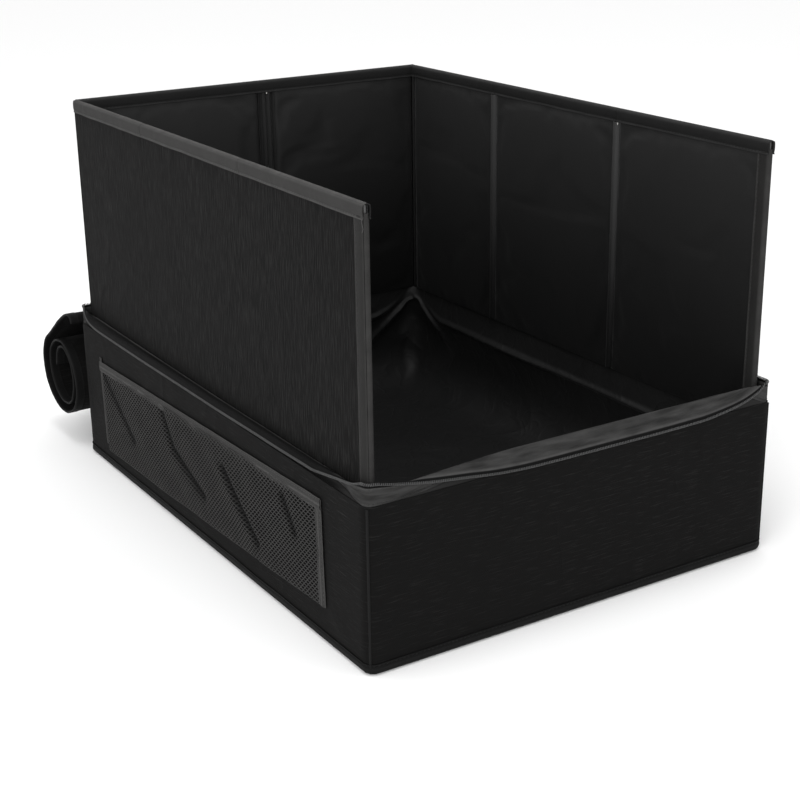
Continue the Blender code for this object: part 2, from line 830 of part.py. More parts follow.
def make_back_wall():
    crease_low = back_crease_offset - back_crease_width / 2
    crease_high = back_crease_offset + back_crease_width / 2
    end = inner_x - seam_gap
    make_panel("back_left", "back", -end, crease_low, with_cover=False)
    make_panel("back_right", "back", crease_high, end, with_cover=False)
    place, turn = panel_frame("back", 0, 0)
    low = (-outer_x, -cover_thickness, guard_bottom)
    high = (outer_x, 0, panel_top)
    add("back_cover", box_mesh("back_cover", low, high), FABRIC, None, place, turn)
    strip_inside = outer_x - cover_thickness - seam_gap
    make_binding("back_binding", 2 * strip_inside, None, place, turn, 0)

    width = back_crease_width - 2 * seam_gap
    sunk = cover_thickness + seam_gap
    strip_height = panel_top - guard_bottom - 2 * board_margin
    outline = [(-width / 2, -sunk), (-width / 2, -sunk - crease_web)]
    welt_steps = 6
    for centre_share in (-0.18, 0.18):
        for step in range(welt_steps + 1):
            angle = math.pi * step / welt_steps
            x = centre_share * width - welt_radius * math.cos(angle)
            outline.append((x, -sunk - crease_web - welt_radius * math.sin(angle)))
    outline += [(width / 2, -sunk - crease_web), (width / 2, -sunk)]
    strip = outline_curve("back_crease_strip", [outline], strip_height)
    middle = (back_crease_offset, outer_y, (guard_bottom + panel_top) / 2)
    add("back_crease_strip", strip, SATIN, None, middle)


def make_side_wall(side):
    """Three panels that turn about the corner, the rear crease and the front crease."""
    sign = 1 if side == "right" else -1
    gap = right_corner_gap if side == "right" else left_corner_gap
    front_end = 1 if side == "right" else -1
    corner_y = inner_y - gap
    corner = axis(side + "_corner_axis", (sign * inner_x, corner_y, guard_bottom))
    rear = axis(side + "_rear_crease_axis", (sign * inner_x, rear_crease_y, guard_bottom), corner)
    front_x = sign * (outer_x + front_axis_offset)
    front = axis(side + "_front_crease_axis", (front_x, front_crease_y, guard_bottom), rear)
    half_crease = crease_width / 2
    front_y = -outer_y + bound_proud
    rear_from = corner_y - end_clearance
    rear_to = rear_crease_y + half_crease
    middle_from = rear_crease_y - half_crease
    middle_to = front_crease_y + half_crease
    make_panel(side + "_rear", side, rear_from, rear_to, corner)
    make_panel(side + "_middle", side, middle_from, middle_to, rear)
    make_panel(side + "_front", side, front_crease_y - half_crease, front_y, front, front_end)

    web_width = crease_width - 2 * seam_gap
    inner_depth = panel_thickness - crease_web
    make_web(side + "_rear_web", side, rear_crease_y, web_width, inner_depth, crease_web, corner)
    make_web(side + "_front_web", side, front_crease_y, web_width, 0, crease_web, rear)
    low, high = corner_y + seam_gap, outer_y - cover_thickness - seam_gap
    strip_name = "right_corner_web" if side == "right" else "left_corner_strip"
    make_web(strip_name, side, (low + high) / 2, high - low, 0, cover_thickness)


# Lid


def roll_point(turns):
    """A point of the roll's section, turns in from where the lid first meets it."""
    angle = lid_roll_start - math.tau * turns
    middle_y = half_depth + lid_roll_behind - lid_forward_step * turns
    middle_z = tray_height - lid_roll_below + lid_upward_step * turns
    reach_y = lid_roll_half_depth - lid_depth_step * turns
    reach_z = lid_roll_half_height - lid_height_step * turns
    return Vector((0, middle_y + reach_y * math.cos(angle), middle_z + reach_z * math.sin(angle)))


def lid_path():
    """Section of the lid from its hinge: up and over from the rim, then rolled inwards."""
    hinge = Vector(lid_axis) + Vector((0, lid_thickness / 2 + seam_gap, 0))
    meet = roll_point(0)
    way = (roll_point(1 / turn_steps) - meet).normalized()
    rise = hinge + Vector((0, lid_lead_out, lid_lead_up))
    pull = meet - way * lid_lead_pull
    points = []
    for step in range(lid_lead_steps):
        share = step / lid_lead_steps
        left = 1 - share
        points.append(
            hinge * left**3
            + rise * 3 * left**2 * share
            + pull * 3 * left * share**2
            + meet * share**3
        )
    for step in range(round(lid_turns * turn_steps) + 1):
        points.append(roll_point(step / turn_steps))
    return [(point.y, point.z) for point in points]


def make_lid():
    hinge_y = half_depth + seam_gap
    low = (-half_width + tray_corner_radius, hinge_y, tray_height - lid_hinge_height)
    high = (half_width - tray_corner_radius, hinge_y + lid_hinge_thickness, tray_height)
    add("lid_hinge_strip", box_mesh("lid_hinge_strip", low, high), BINDING)

    swing = axis("lid_swing_axis", lid_axis)
    path = lid_path()
    half_lid = half_width + lid_overhang
    panel_end = half_lid - lid_binding_width - seam_gap
    lid_pieces = (
        ("lid_roll", -panel_end, panel_end, lid_thickness, FABRIC),
        ("lid_left_binding", -half_lid, -panel_end - seam_gap, lid_binding_thickness, BINDING),
        ("lid_right_binding", panel_end + seam_gap, half_lid, lid_binding_thickness, BINDING),
    )
    for name, left, right, thickness, finish in lid_pieces:
        rows = [[(x, y, z) for y, z in path] for x in (left, right)]
        made = add(name, sheet_mesh(name, rows), finish, swing, (0, 0, 0))
        thicken(made, thickness)


for leftover in list(bpy.data.objects):
    bpy.data.objects.remove(leftover)

axis_places = {}
parts = collection("foldable_litter_box")
cutters = collection("cutters")
teeth_line = zip_tape_width + seam_gap + teeth_radius + zip_tape_thickness / 2
lid_axis = (0, half_depth + lid_hinge_thickness + 2 * seam_gap, tray_height)

make_tray()
make_tray_trims()
make_collar()
make_liner()
make_zip()
make_slider()
make_pocket()
make_back_wall()
make_side_wall("right")
make_side_wall("left")
make_lid()
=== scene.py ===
"""Looks of a foldable litter box: fabrics, seams, net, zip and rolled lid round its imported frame."""

import math

import bmesh
import bpy
from bpy.props import FloatProperty, FloatVectorProperty, PointerProperty
from bpy.types import Operator, Panel, PropertyGroup
from mathutils import Matrix, Vector, noise


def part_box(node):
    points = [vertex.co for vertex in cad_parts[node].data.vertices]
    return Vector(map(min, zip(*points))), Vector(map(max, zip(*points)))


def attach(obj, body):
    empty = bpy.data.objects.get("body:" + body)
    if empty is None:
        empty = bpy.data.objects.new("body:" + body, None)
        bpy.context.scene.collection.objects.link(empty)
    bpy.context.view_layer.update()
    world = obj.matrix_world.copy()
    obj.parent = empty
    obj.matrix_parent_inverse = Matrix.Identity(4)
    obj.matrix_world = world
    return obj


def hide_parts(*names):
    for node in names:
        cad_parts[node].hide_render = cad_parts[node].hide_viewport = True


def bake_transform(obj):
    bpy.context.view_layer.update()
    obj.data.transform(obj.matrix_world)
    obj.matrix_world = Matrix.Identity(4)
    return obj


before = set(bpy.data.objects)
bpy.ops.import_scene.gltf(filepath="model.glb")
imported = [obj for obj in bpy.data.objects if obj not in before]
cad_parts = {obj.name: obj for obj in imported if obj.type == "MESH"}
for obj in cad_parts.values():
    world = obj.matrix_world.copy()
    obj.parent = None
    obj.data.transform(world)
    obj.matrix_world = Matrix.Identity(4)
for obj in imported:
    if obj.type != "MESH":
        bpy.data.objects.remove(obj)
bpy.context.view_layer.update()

bl_info = {
    "name": "Foldable litter box",
    "version": (1, 0, 0),
    "blender": (4, 5, 0),
    "location": "3D View > Sidebar > Litter box",
    "description": "Builds the fabrics, seams, net, zip and rolled lid of a foldable litter box",
    "category": "Object",
}

MM = 0.001

# Places that the frame gives
half_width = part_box("tray_bottom")[1].x
half_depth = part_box("tray_bottom")[1].y
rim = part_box("front_board")[1].z
guard_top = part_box("back_binding")[1].z
guard_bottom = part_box("back_cover")[0].z
guard_outer = {"right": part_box("right_rear_cover")[1].x, "left": -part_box("left_rear_cover")[0].x,
               "back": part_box("back_cover")[1].y}

# Each guard wall's way along it and its way inwards
guard_ways = {
    "right": (Vector((0, 1, 0)), Vector((-1, 0, 0))),
    "left": (Vector((0, 1, 0)), Vector((1, 0, 0))),
    "back": (Vector((1, 0, 0)), Vector((0, -1, 0))),
}

# How wide the binding tape and the zip's tape are when they lie flat
tape_cut, zip_cut = 27.6 * MM, 14 * MM


# Sizes and colours that a user would change


def length(label, note, millimetres):
    return FloatProperty(
        name=label, description=note, default=millimetres * MM, unit="LENGTH", precision=5
    )


def tint(label, note, grey, warmth=0.0):
    colour = (grey * (1 + warmth), grey, grey * (1 - warmth))
    return FloatVectorProperty(
        name=label, description=note, default=colour, subtype="COLOR", min=0.0, max=1.0
    )


class LitterBoxSizes(PropertyGroup):
    corner: length("Corner radius", "Radius of the tray's upright corners", 7)
    foot_turn: length("Foot turn", "Radius of the fabric's turn under the tray", 3.6)
    swell: length("Swell", "How far the outer fabric stands off its boards", 0.7)
    cloth: length("Fabric", "Thickness of the outer fabric", 0.8)
    piping: length("Piping", "Radius of the piping up the corners", 1)
    tape: length("Tape", "Thickness of a binding tape", 0.6)
    stitch: length("Stitch", "Length of one stitch", 2.4)
    stitch_gap: length("Stitch gap", "Gap between two stitches", 1.0)
    thread: length("Thread", "Radius of the sewing thread", 0.22)
    binding_leg: length("Binding leg", "How far the guard's binding reaches down each face", 11)
    pucker: length("Pucker", "Height of the puckers along the guard's top seam", 0.5)
    pucker_pitch: length("Pucker pitch", "Distance between two puckers", 9)
    welt: length("Welt", "How far a crease's welt stands proud", 2.6)
    liner_fold: length("Liner fold", "Depth of the liner's loose folds", 7)
    net_cell: length("Net cell", "Pitch of the pocket's net", 3.5)
    net_cord: length("Net cord", "Width of the net's threads", 1.22)
    net_swell: length("Net swell", "How far the pocket's net stands off the wall", 3)
    coil_pitch: length("Coil pitch", "Distance between two turns of the zip's coil", 1.45)
    coil_wire: length("Coil wire", "Radius of the coil's wire", 0.33)
    lid: length("Lid", "Thickness of the lid's two layers", 1.2)


class LitterBoxColours(PropertyGroup):
    outer: tint("Outer fabric", "Colour of the slubbed outer fabric", 0.0045, 0.02)
    slub: tint("Slub", "Colour of the outer fabric's thick threads", 0.018, 0.02)
    satin: tint("Lining", "Colour of the guard's smooth lining", 0.0125)
    liner: tint("Liner", "Colour of the waterproof liner", 0.006)
    binding: tint("Binding", "Colour of the binding tape", 0.034, 0.02)
    # Also painted shade: the guard tape's inner leg and the zip's hollow. The foot's tape and the
    # threads are truly this dark.
    dark_binding: tint("Dark binding", "Colour of the tape on the inside and the foot", 0.0135)
    zip_tape: tint("Zip tape", "Colour of the zip's tape", 0.035, 0.01)
    # Brighter than the coil's black nylon, as a painted highlight along its ridge.
    coil: tint("Coil", "Colour of the zip's coil", 0.055)
    pale: tint("Bar tacks", "Colour of the pale thread of the bar tacks", 0.55, 0.03)
    metal: tint("Metal", "Colour of the painted slider and stops", 0.03)
    net: tint("Net", "Colour of the pocket's net", 0.019, 0.02)
    board: tint("Board", "Colour of the boards inside the fabric", 0.1)
    floor: tint("Floor", "Colour of the floor", 0.95)


# Meshes

merge_within, border = 0.02 * MM, 0.3 * MM
least_columns = 4
thread_end_share, thread_stations = 0.3, 4
thread_tilt = Vector((0.31, 0.17, 0.93))
cloth_frames, cloth_quality, cloth_mass = 12, 4, 0.2
cloth_growth, cloth_pressure, cloth_stiffness, cloth_bending = 0.006, 0.5, 12.0, 0.4
cloth_step_cap = 0.6 * MM


def ease(value):
    value = max(0.0, min(1.0, value))
    return value * value * (3 - 2 * value)


def waver(x, y, z):
    """Smooth noise. A place is given as metres times waves per metre, and a seed as a number."""
    return noise.noise(Vector((x, y, z)))


def border_tight(share_of, count, size):
    """Evenly spaced shares, but for the second and last but one, which lie close to the border."""
    if count < least_columns:
        return share_of
    index, close = round(share_of * count), border / size
    if index <= 1:
        return index * close
    if index >= count - 1:
        return 1 - (count - index) * close
    return (index - 1) / (count - 2)


def sheet_form(columns, rows, place, width, height):
    """A grid whose corners u, v go to place(u, v); its UV map is in metres along the cloth."""
    form = bmesh.new()
    bmesh.ops.create_grid(form, x_segments=columns, y_segments=rows, size=0.5)
    for vertex in form.verts:
        vertex.co.x = border_tight(vertex.co.x + 0.5, columns, width)
        vertex.co.y = border_tight(vertex.co.y + 0.5, rows, height)
    layer = form.loops.layers.uv.new("UVMap")
    for face in form.faces:
        for loop in face.loops:
            loop[layer].uv = (loop.vert.co.x * width, loop.vert.co.y * height)
    for vertex in form.verts:
        vertex.co = place(vertex.co.x, vertex.co.y)
    return form


def traced(place, v, steps):
    """Points along a sheet's line v, from its one end to its other."""
    return [place(step / steps, v) for step in range(steps + 1)]


def block_form(size, middle):
    form = bmesh.new()
    bmesh.ops.create_cube(form, size=1)
    bmesh.ops.scale(form, vec=size, verts=form.verts)
    bmesh.ops.translate(form, vec=middle, verts=form.verts)
    return form


def upright_edges(form):
    return [edge for edge in form.edges if abs((edge.verts[0].co - edge.verts[1].co).z) > 0]


def rod(form, start, end, radius, sides):
    run = end - start
    place = Matrix.Translation((start + end) / 2) @ run.to_track_quat("Z", "Y").to_matrix().to_4x4()
    bmesh.ops.create_cone(form, cap_ends=True, segments=sides, radius1=radius, radius2=radius,
                          depth=run.length, matrix=place)


def merge(form, distance=merge_within):
    bmesh.ops.remove_doubles(form, verts=form.verts, dist=distance)


def middle_of(part):
    """A number for each axis that grows with the place of a point, an edge or a face."""
    points = getattr(part, "verts", [part])
    return tuple(sum(point.co[axis] for point in points) for axis in range(3))


def put_in_order(form):
    """Sorts a form's parts by place. An extrusion leaves them in another order each time."""
    for parts in (form.verts, form.edges, form.faces):
        for index, part in enumerate(sorted(parts, key=middle_of)):
            part.index = index
        parts.sort()


def add_form(target, source, finish=0):
    """Puts one bmesh's faces into another, all with one finish."""
    spare = bpy.data.meshes.new("spare")
    for face in source.faces:
        face.material_index = finish
    source.to_mesh(spare)
    source.free()
    target.from_mesh(spare)
    bpy.data.meshes.remove(spare)


def paint(form, name, value_at):
    """A value for each vertex, from its place, that a material reads by its name."""
    layer = form.verts.layers.float.new(name)
    for vertex in form.verts:
        vertex[layer] = value_at(vertex.co)


def make_piece(name, form, finishes, slot, body=None, *nodes):
    """An object at the origin from a bmesh, with its finishes, its body and its nodes. Its slot is not
    used.
    """
    mesh = bpy.data.meshes.new(name)
    form.to_mesh(mesh)
    form.free()
    piece = bpy.data.objects.new(name, mesh)
    bpy.context.scene.collection.objects.link(piece)
    for finish in finishes:
        mesh.materials.append(finish_of(finish))
    mesh.shade_smooth()
    if body:
        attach(piece, body)
    if nodes:
        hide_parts(*nodes)
    return piece


def thicken(piece, thickness, offset=0.0):
    modifier = piece.modifiers.new("thickness", "SOLIDIFY")
    modifier.thickness = thickness
    modifier.offset = offset


def round_off(piece, width, segments=2):
    modifier = piece.modifiers.new("rounding", "BEVEL")
    modifier.width = width
    modifier.segments = segments
    modifier.limit_method = "ANGLE"


def smooth_more(piece):
    modifier = piece.modifiers.new("smoothing", "SUBSURF")
    modifier.levels = modifier.render_levels = 1


def stitches(line, sizes):
    """A form with short threads along a line of points, each sunk at both its ends."""
    lengths = [0.0]
    for start, end in zip(line, line[1:]):
        lengths.append(lengths[-1] + (end - start).length)
    step = sizes.stitch + sizes.stitch_gap
    count = int(lengths[-1] / step)
    last = thread_stations * count - 1
    threads = bmesh.new()
    bmesh.ops.create_grid(threads, x_segments=last, y_segments=4, size=0.5)
    gaps = []
    for face in threads.faces:
        station = min(round((vertex.co.x + 0.5) * last) for vertex in face.verts)
        if (station + 1) % thread_stations == 0:
            gaps.append(face)
    bmesh.ops.delete(threads, geom=gaps, context="FACES_ONLY")
    segment, places = 0, []
    for station in range(last + 1):
        index, part = divmod(station, thread_stations)
        distance = (index + 0.5) * step + (part / (thread_stations - 1) - 0.5) * sizes.stitch
        while segment < len(line) - 2 and lengths[segment + 1] < distance:
            segment += 1
        run = lengths[segment + 1] - lengths[segment]
        way = (line[segment + 1] - line[segment]) / run
        middle = line[segment] + way * (distance - lengths[segment])
        aside = way.cross(thread_tilt).normalized()
        radius = sizes.thread * (thread_end_share if part in (0, thread_stations - 1) else 1.0)
        places.append((middle, aside * radius, way.cross(aside) * radius))
    for vertex in threads.verts:
        middle, aside, over = places[round((vertex.co.x + 0.5) * last)]
        angle = math.tau * (vertex.co.y + 0.5)
        vertex.co = middle + aside * math.cos(angle) + over * math.sin(angle)
    return threads


def sew(name, lines, sizes, body, finish="dark_thread"):
    """One piece with the stitches along each of the lines."""
    form = bmesh.new()
    for line in lines:
        add_form(form, stitches(line, sizes))
    bmesh.ops.recalc_face_normals(form, faces=form.faces)
    make_piece(name, form, [finish], "binding", body)


def settle(piece, pinned):
    """Lets a sheet's free points buckle as cloth that is a little too large, then keeps the shape."""
    group = piece.vertex_groups.new(name="pinned")
    group.add([index for index, held in enumerate(pinned) if held], 1.0, "REPLACE")
    cloth = piece.modifiers.new("cloth", "CLOTH")
    settings = cloth.settings
    settings.quality = cloth_quality
    settings.mass = cloth_mass
    settings.vertex_group_mass = "pinned"
    settings.tension_stiffness = settings.compression_stiffness = cloth_stiffness
    settings.shear_stiffness = cloth_stiffness / 2
    settings.bending_stiffness = cloth_bending
    settings.shrink_min = -cloth_growth
    settings.use_pressure = True
    settings.uniform_pressure_force = cloth_pressure
    settings.effector_weights.gravity = 0.0
    cloth.point_cache.frame_start = 1
    cloth.point_cache.frame_end = cloth_frames
    scene = bpy.context.scene
    for moment in range(1, cloth_frames + 1):
        scene.frame_set(moment)
    shown = piece.evaluated_get(bpy.context.evaluated_depsgraph_get())
    moved = [vertex.co.copy() for vertex in shown.data.vertices]
    piece.modifiers.remove(cloth)
    piece.vertex_groups.remove(group)
    scene.frame_set(1)
    for vertex, place in zip(piece.data.vertices, moved):
        step = place - vertex.co
        if step.length > cloth_step_cap:
            step *= cloth_step_cap / step.length
        vertex.co += step
    piece.data.update()


# Shader node groups


def feed(tree, socket, value):
    """Gives an input a number, a vector, a colour or another node's output."""
    if isinstance(value, bpy.types.NodeSocket):
        tree.links.new(value, socket)
    elif socket.type == "RGBA":
        socket.default_value = (*value, 1.0)
    else:
        socket.default_value = value


def put(tree, kind, inputs=(), **settings):
    """A node with its settings and what its inputs are fed."""
    made = tree.nodes.new(kind)
    for key, value in settings.items():
        setattr(made, key, value)
    for key, value in dict(inputs).items():
        feed(tree, made.inputs[key], value)
    return made


def sums(tree, operation, first, second, third=0.5, clamped=False):
    inputs = {0: first, 1: second, 2: third}
    return put(tree, "ShaderNodeMath", inputs, operation=operation, use_clamp=clamped).outputs[0]


def grade(tree, value, low, high, curve="LINEAR"):
    """Nought at the low value, one at the high value and a clamped slope between them."""
    inputs = {0: value, 1: low, 2: high}
    return put(tree, "ShaderNodeMapRange", inputs, interpolation_type=curve).outputs[0]


def apart(tree, vector):
    return put(tree, "ShaderNodeSeparateXYZ", {0: vector}).outputs


def new_group(name, ins, outs):
    """An empty node group with its named inputs, each with a default, and outputs."""
    tree = bpy.data.node_groups.new(name, "ShaderNodeTree")
    for label, start in ins.items():
        kind = "NodeSocketVector" if start is None else "NodeSocketFloat"
        socket = tree.interface.new_socket(label, in_out="INPUT", socket_type=kind)
        if start is not None:
            socket.default_value = start
    for label in outs:
        tree.interface.new_socket(label, in_out="OUTPUT", socket_type="NodeSocketFloat")
    return tree, tree.nodes.new("NodeGroupInput").outputs, tree.nodes.new("NodeGroupOutput").inputs


def weave_group():
    """Plain weave with thick slubbed threads: Height for bump, Slub for colour."""
    ins = {"Vector": None, "Threads": 1800.0, "Slub Along": 60.0, "Slub Across": 900.0, "Share": 0.3}
    tree, given, result = new_group("Slubbed weave", ins, ("Height", "Slub"))
    x, y, z = apart(tree, given["Vector"])
    turns = sums(tree, "MULTIPLY", given["Threads"], math.pi)
    over = sums(tree, "SINE", sums(tree, "MULTIPLY", x, turns), 0.0)
    under = sums(tree, "SINE", sums(tree, "MULTIPLY", y, turns), 0.0)
    weave = sums(tree, "MULTIPLY_ADD", sums(tree, "MULTIPLY", over, under), 0.5, 0.5)
    along = sums(tree, "MULTIPLY", x, given["Slub Along"])
    across = sums(tree, "MULTIPLY", y, given["Slub Across"])
    place = put(tree, "ShaderNodeCombineXYZ", {0: along, 1: across, 2: z}).outputs[0]
    inputs = {"Vector": place, "Scale": 1.0, "Detail": 2.0}
    grain = put(tree, "ShaderNodeTexNoise", inputs).outputs[0]
    low = sums(tree, "SUBTRACT", 0.75, given["Share"])
    slub = grade(tree, grain, low, sums(tree, "ADD", low, 0.2))
    tree.links.new(slub, result["Slub"])
    tree.links.new(sums(tree, "MULTIPLY_ADD", weave, 0.35, slub), result["Height"])
    return tree


def crease_group():
    """Soft creases, as sharp ridges between smooth fields: Height for bump."""
    ins = {"Vector": None, "Scale": 20.0, "Sharpness": 3.0}
    tree, given, result = new_group("Creases", ins, ("Height",))
    inputs = {"Vector": given["Vector"], "Scale": given["Scale"], "Detail": 1.5, "Distortion": 0.8}
    field = put(tree, "ShaderNodeTexNoise", inputs).outputs[0]
    ridge = sums(tree, "ABSOLUTE", sums(tree, "MULTIPLY_ADD", field, 2.0, -1.0), 0.0)
    height = sums(tree, "POWER", sums(tree, "SUBTRACT", 1.0, ridge), given["Sharpness"])
    tree.links.new(height, result["Height"])
    return tree


def tape_group():
    """Ribbed tape with painted highlights on its edges and crest: Height for bump, the others for
    colour.
    """
    ins = {"Vector": None, "Width": tape_cut, "Ribs": 900.0, "Edge From": 0.8}
    tree, given, result = new_group("Ribbed tape", ins, ("Height", "Edge", "Crest"))
    x, y = apart(tree, given["Vector"])[:2]
    rib = sums(tree, "SINE", sums(tree, "MULTIPLY", x, given["Ribs"]), 0.0)
    across = sums(tree, "DIVIDE", y, given["Width"])
    off_middle = sums(tree, "ABSOLUTE", sums(tree, "MULTIPLY_ADD", across, 2.0, -1.0), 0.0)
    edge = grade(tree, off_middle, given["Edge From"], sums(tree, "ADD", given["Edge From"], 0.18))
    crest = grade(tree, off_middle, 0.24, 0.06)
    # Noise that breaks up the painted highlights.
    inputs = {"Vector": given["Vector"], "Scale": 90.0, "Detail": 3.0}
    highlight_share = put(tree, "ShaderNodeTexNoise", inputs).outputs[0]
    tree.links.new(sums(tree, "MULTIPLY", crest, highlight_share), result["Crest"])
    tree.links.new(sums(tree, "MULTIPLY", edge, highlight_share), result["Edge"])
    tree.links.new(rib, result["Height"])
    return tree


def dust_group():
    """Slow mottling and fine specks: Cloud to vary a colour, Speck for lint."""
    ins = {"Vector": None, "Cloud Scale": 9.0, "Speck Scale": 420.0, "Speck Share": 0.03}
    tree, given, result = new_group("Mottle and lint", ins, ("Cloud", "Speck"))
    cloud = put(tree, "ShaderNodeTexNoise",
                {"Vector": given["Vector"], "Scale": given["Cloud Scale"], "Detail": 3.0}).outputs[0]
    cells = put(tree, "ShaderNodeTexVoronoi",
                {"Vector": given["Vector"], "Scale": given["Speck Scale"]}).outputs[0]
    tree.links.new(cloud, result["Cloud"])
    tree.links.new(sums(tree, "LESS_THAN", cells, given["Speck Share"]), result["Speck"])
    return tree


# Finishes

# Heights of the bumps: first a surface's creases or streaks, then its weave, ribs or small creases
outer_bumps, satin_bumps = (0.5 * MM, 0.25 * MM), (0.6 * MM, 0.03 * MM)
liner_bumps, tape_bumps = (1.2 * MM, 0.3 * MM), (0.25 * MM, 0.05 * MM)
zip_bumps, collar_bumps, fine_grain = (1 * MM, 0.05 * MM), (0.2 * MM, 0.05 * MM), 0.03 * MM

# Places across the zip's tape: where the painted highlight on its coil side starts, and where the
# coil's painted shadow starts
coil_side, coil_shadow = (8 * MM, 11 * MM), (12.1 * MM, 12.7 * MM)
tape_ribs, zip_ribs = 900 * math.tau, 1300 * math.tau


def shade(colour, by):
    return [by * value for value in colour]


class Finish:
    """A material in the making: its tree, its shader and the places its patterns read."""

    def __init__(self, name, roughness, sheen=0.0, specular=0.5):
        self.material = bpy.data.materials.new(name)
        self.material.use_nodes = True
        self.tree = self.material.node_tree
        self.inputs = self.tree.nodes["Principled BSDF"].inputs
        self.inputs["Roughness"].default_value = roughness
        self.inputs["Sheen Weight"].default_value = sheen
        self.inputs["Sheen Roughness"].default_value = 0.45
        self.inputs["Specular IOR Level"].default_value = specular
        places = put(self.tree, "ShaderNodeTexCoord").outputs
        self.cloth, self.space = places["UV"], places["Object"]

    def mapped(self, **values):
        inputs = {"Vector": self.cloth, **{key.title(): value for key, value in values.items()}}
        return put(self.tree, "ShaderNodeMapping", inputs).outputs[0]

    def painted(self, name):
        return put(self.tree, "ShaderNodeAttribute", attribute_name=name).outputs["Fac"]

    def group(self, name, make, **values):
        tree = bpy.data.node_groups.get(name) or make()
        inputs = {key.replace("_", " ").title(): value for key, value in values.items()}
        return put(self.tree, "ShaderNodeGroup", inputs, node_tree=tree).outputs

    def mottle(self, cloud_scale=9.0, **values):
        return self.group("Mottle and lint", dust_group, vector=self.space, cloud_scale=cloud_scale,
                          **values)

    def creases(self, scale, sharpness):
        return self.group("Creases", crease_group, vector=self.space, scale=scale,
                          sharpness=sharpness)["Height"]

    def mix(self, share_of, first, second):
        made = put(self.tree, "ShaderNodeMix", {"Factor": share_of}, data_type="RGBA")
        feed(self.tree, made.inputs[6], first)
        feed(self.tree, made.inputs[7], second)
        return made.outputs[2]

    def colour(self, value):
        feed(self.tree, self.inputs["Base Color"], value)

    def rough(self, amount, low, high):
        found = put(self.tree, "ShaderNodeMapRange", {0: amount, 3: low, 4: high}).outputs[0]
        feed(self.tree, self.inputs["Roughness"], found)

    def bump(self, heights, distances):
        """Heights laid over each other, each with the distance that its full height stands for."""
        inputs = {}
        for height, distance in zip(heights, distances):
            inputs.update(Height=height, Distance=distance)
            inputs["Normal"] = put(self.tree, "ShaderNodeBump", inputs).outputs[0]
        feed(self.tree, self.inputs["Normal"], inputs["Normal"])


def outer_finish(name, colours, upright):
    """Slubbed outer fabric, its thick threads lying level on the tray and upright on the guard."""
    finish = Finish(name, 0.85, sheen=0.015, specular=0.06)
    place = finish.mapped(rotation=(0.0, 0.0, math.radians(90))) if upright else finish.cloth
    weave = finish.group("Slubbed weave", weave_group, vector=place, share=0.26 if upright else 0.19)
    mottle = finish.mottle()
    thread = finish.mix(weave["Slub"], colours.outer, colours.slub)
    faded = finish.mix(mottle["Cloud"], colours.outer, thread)
    finish.colour(finish.mix(mottle["Speck"], faded, colours.slub))
    finish.bump((finish.creases(14.0, 4.0), weave["Height"]), outer_bumps)
    return finish.material


def satin_finish(name, colours, lighter_by):
    """Smooth lining, with painted shade making it a deeper black towards its foot."""
    finish = Finish(name, 0.42, sheen=0.04, specular=0.16)
    weave = finish.group("Slubbed weave", weave_group, vector=finish.cloth, threads=2600.0,
                         slub_along=900.0, slub_across=900.0, share=0.2)
    cloud = finish.mottle(7.0)["Cloud"]
    # Painted shade: the colour turns a deeper black down the guard, towards its foot.
    upper = grade(finish.tree, apart(finish.tree, finish.space)[2], guard_bottom, guard_top,
                  "SMOOTHSTEP")
    # lighter_by above one makes a brighter copy of the lining, a painted highlight for the welts.
    plain = shade(colours.satin, lighter_by)
    clouded = finish.mix(cloud, plain, shade(plain, 1.3))
    finish.colour(finish.mix(upper, shade(colours.satin, 0.36), clouded))
    finish.rough(cloud, 0.38, 0.48)
    finish.bump((finish.creases(7.0, 1.5), weave["Height"]), satin_bumps)
    return finish.material


def liner_finish(name, colours):
    """Coated cloth, creased in large folds and in small ones."""
    finish = Finish(name, 0.57, sheen=0.03, specular=0.17)
    cloud = finish.mottle(14.0)["Cloud"]
    finish.colour(finish.mix(cloud, colours.liner, shade(colours.liner, 1.6)))
    finish.rough(cloud, 0.52, 0.62)
    finish.bump((finish.creases(11.0, 5.0), finish.creases(45.0, 6.0)), liner_bumps)
    return finish.material


def zip_finish(name, colours, edged):
    """Zip tape, streaked along its length, painted in shade in its hollow and in full colour in the
    open.

    Its coil side and foot get painted highlights, and a painted coil shadow. The collar's cloth has
    none of these.
    """
    finish = Finish(name, 0.7, specular=0.05)
    tree = finish.tree
    tape = finish.group("Ribbed tape", tape_group, vector=finish.cloth, width=zip_cut, ribs=zip_ribs,
                        edge_from=0.52)
    along = finish.mapped(scale=(34.0, 300.0, 1.0))
    streak = finish.group("Mottle and lint", dust_group, vector=along, cloud_scale=1.0)["Cloud"]
    opened = finish.painted("open")
    shown = sums(tree, "MINIMUM", opened, 1.0)
    # hollow is the painted shade, where the painted open value is nought.
    hollow, darker = shade(colours.dark_binding, 0.3), shade(colours.zip_tape, 0.55)
    if edged:
        strong = grade(tree, streak, 0.34, 0.66)
        base = finish.mix(shown, hollow, finish.mix(strong, darker, shade(colours.zip_tape, 1.25)))
        over = apart(tree, finish.cloth)[1]
        # Painted highlight band along the coil side, in the open.
        edge = sums(tree, "MULTIPLY", tape["Edge"], grade(tree, over, *coil_side))
        base = finish.mix(sums(tree, "MULTIPLY", edge, shown), base, shade(colours.zip_tape, 2.1))
        # Painted highlight on the foot fold, where the open value is above one.
        highlight_share = sums(tree, "SUBTRACT", opened, 1.0, clamped=True)
        base = finish.mix(highlight_share, base, shade(colours.zip_tape, 2.7))
        # Painted shadow just under the coil.
        finish.colour(finish.mix(grade(tree, over, *coil_shadow), base, hollow))
    else:
        # The collar: painted shade where the open value is nought.
        finish.colour(finish.mix(shown, hollow, darker))
    finish.bump((streak, tape["Height"]), zip_bumps if edged else collar_bumps)
    return finish.material


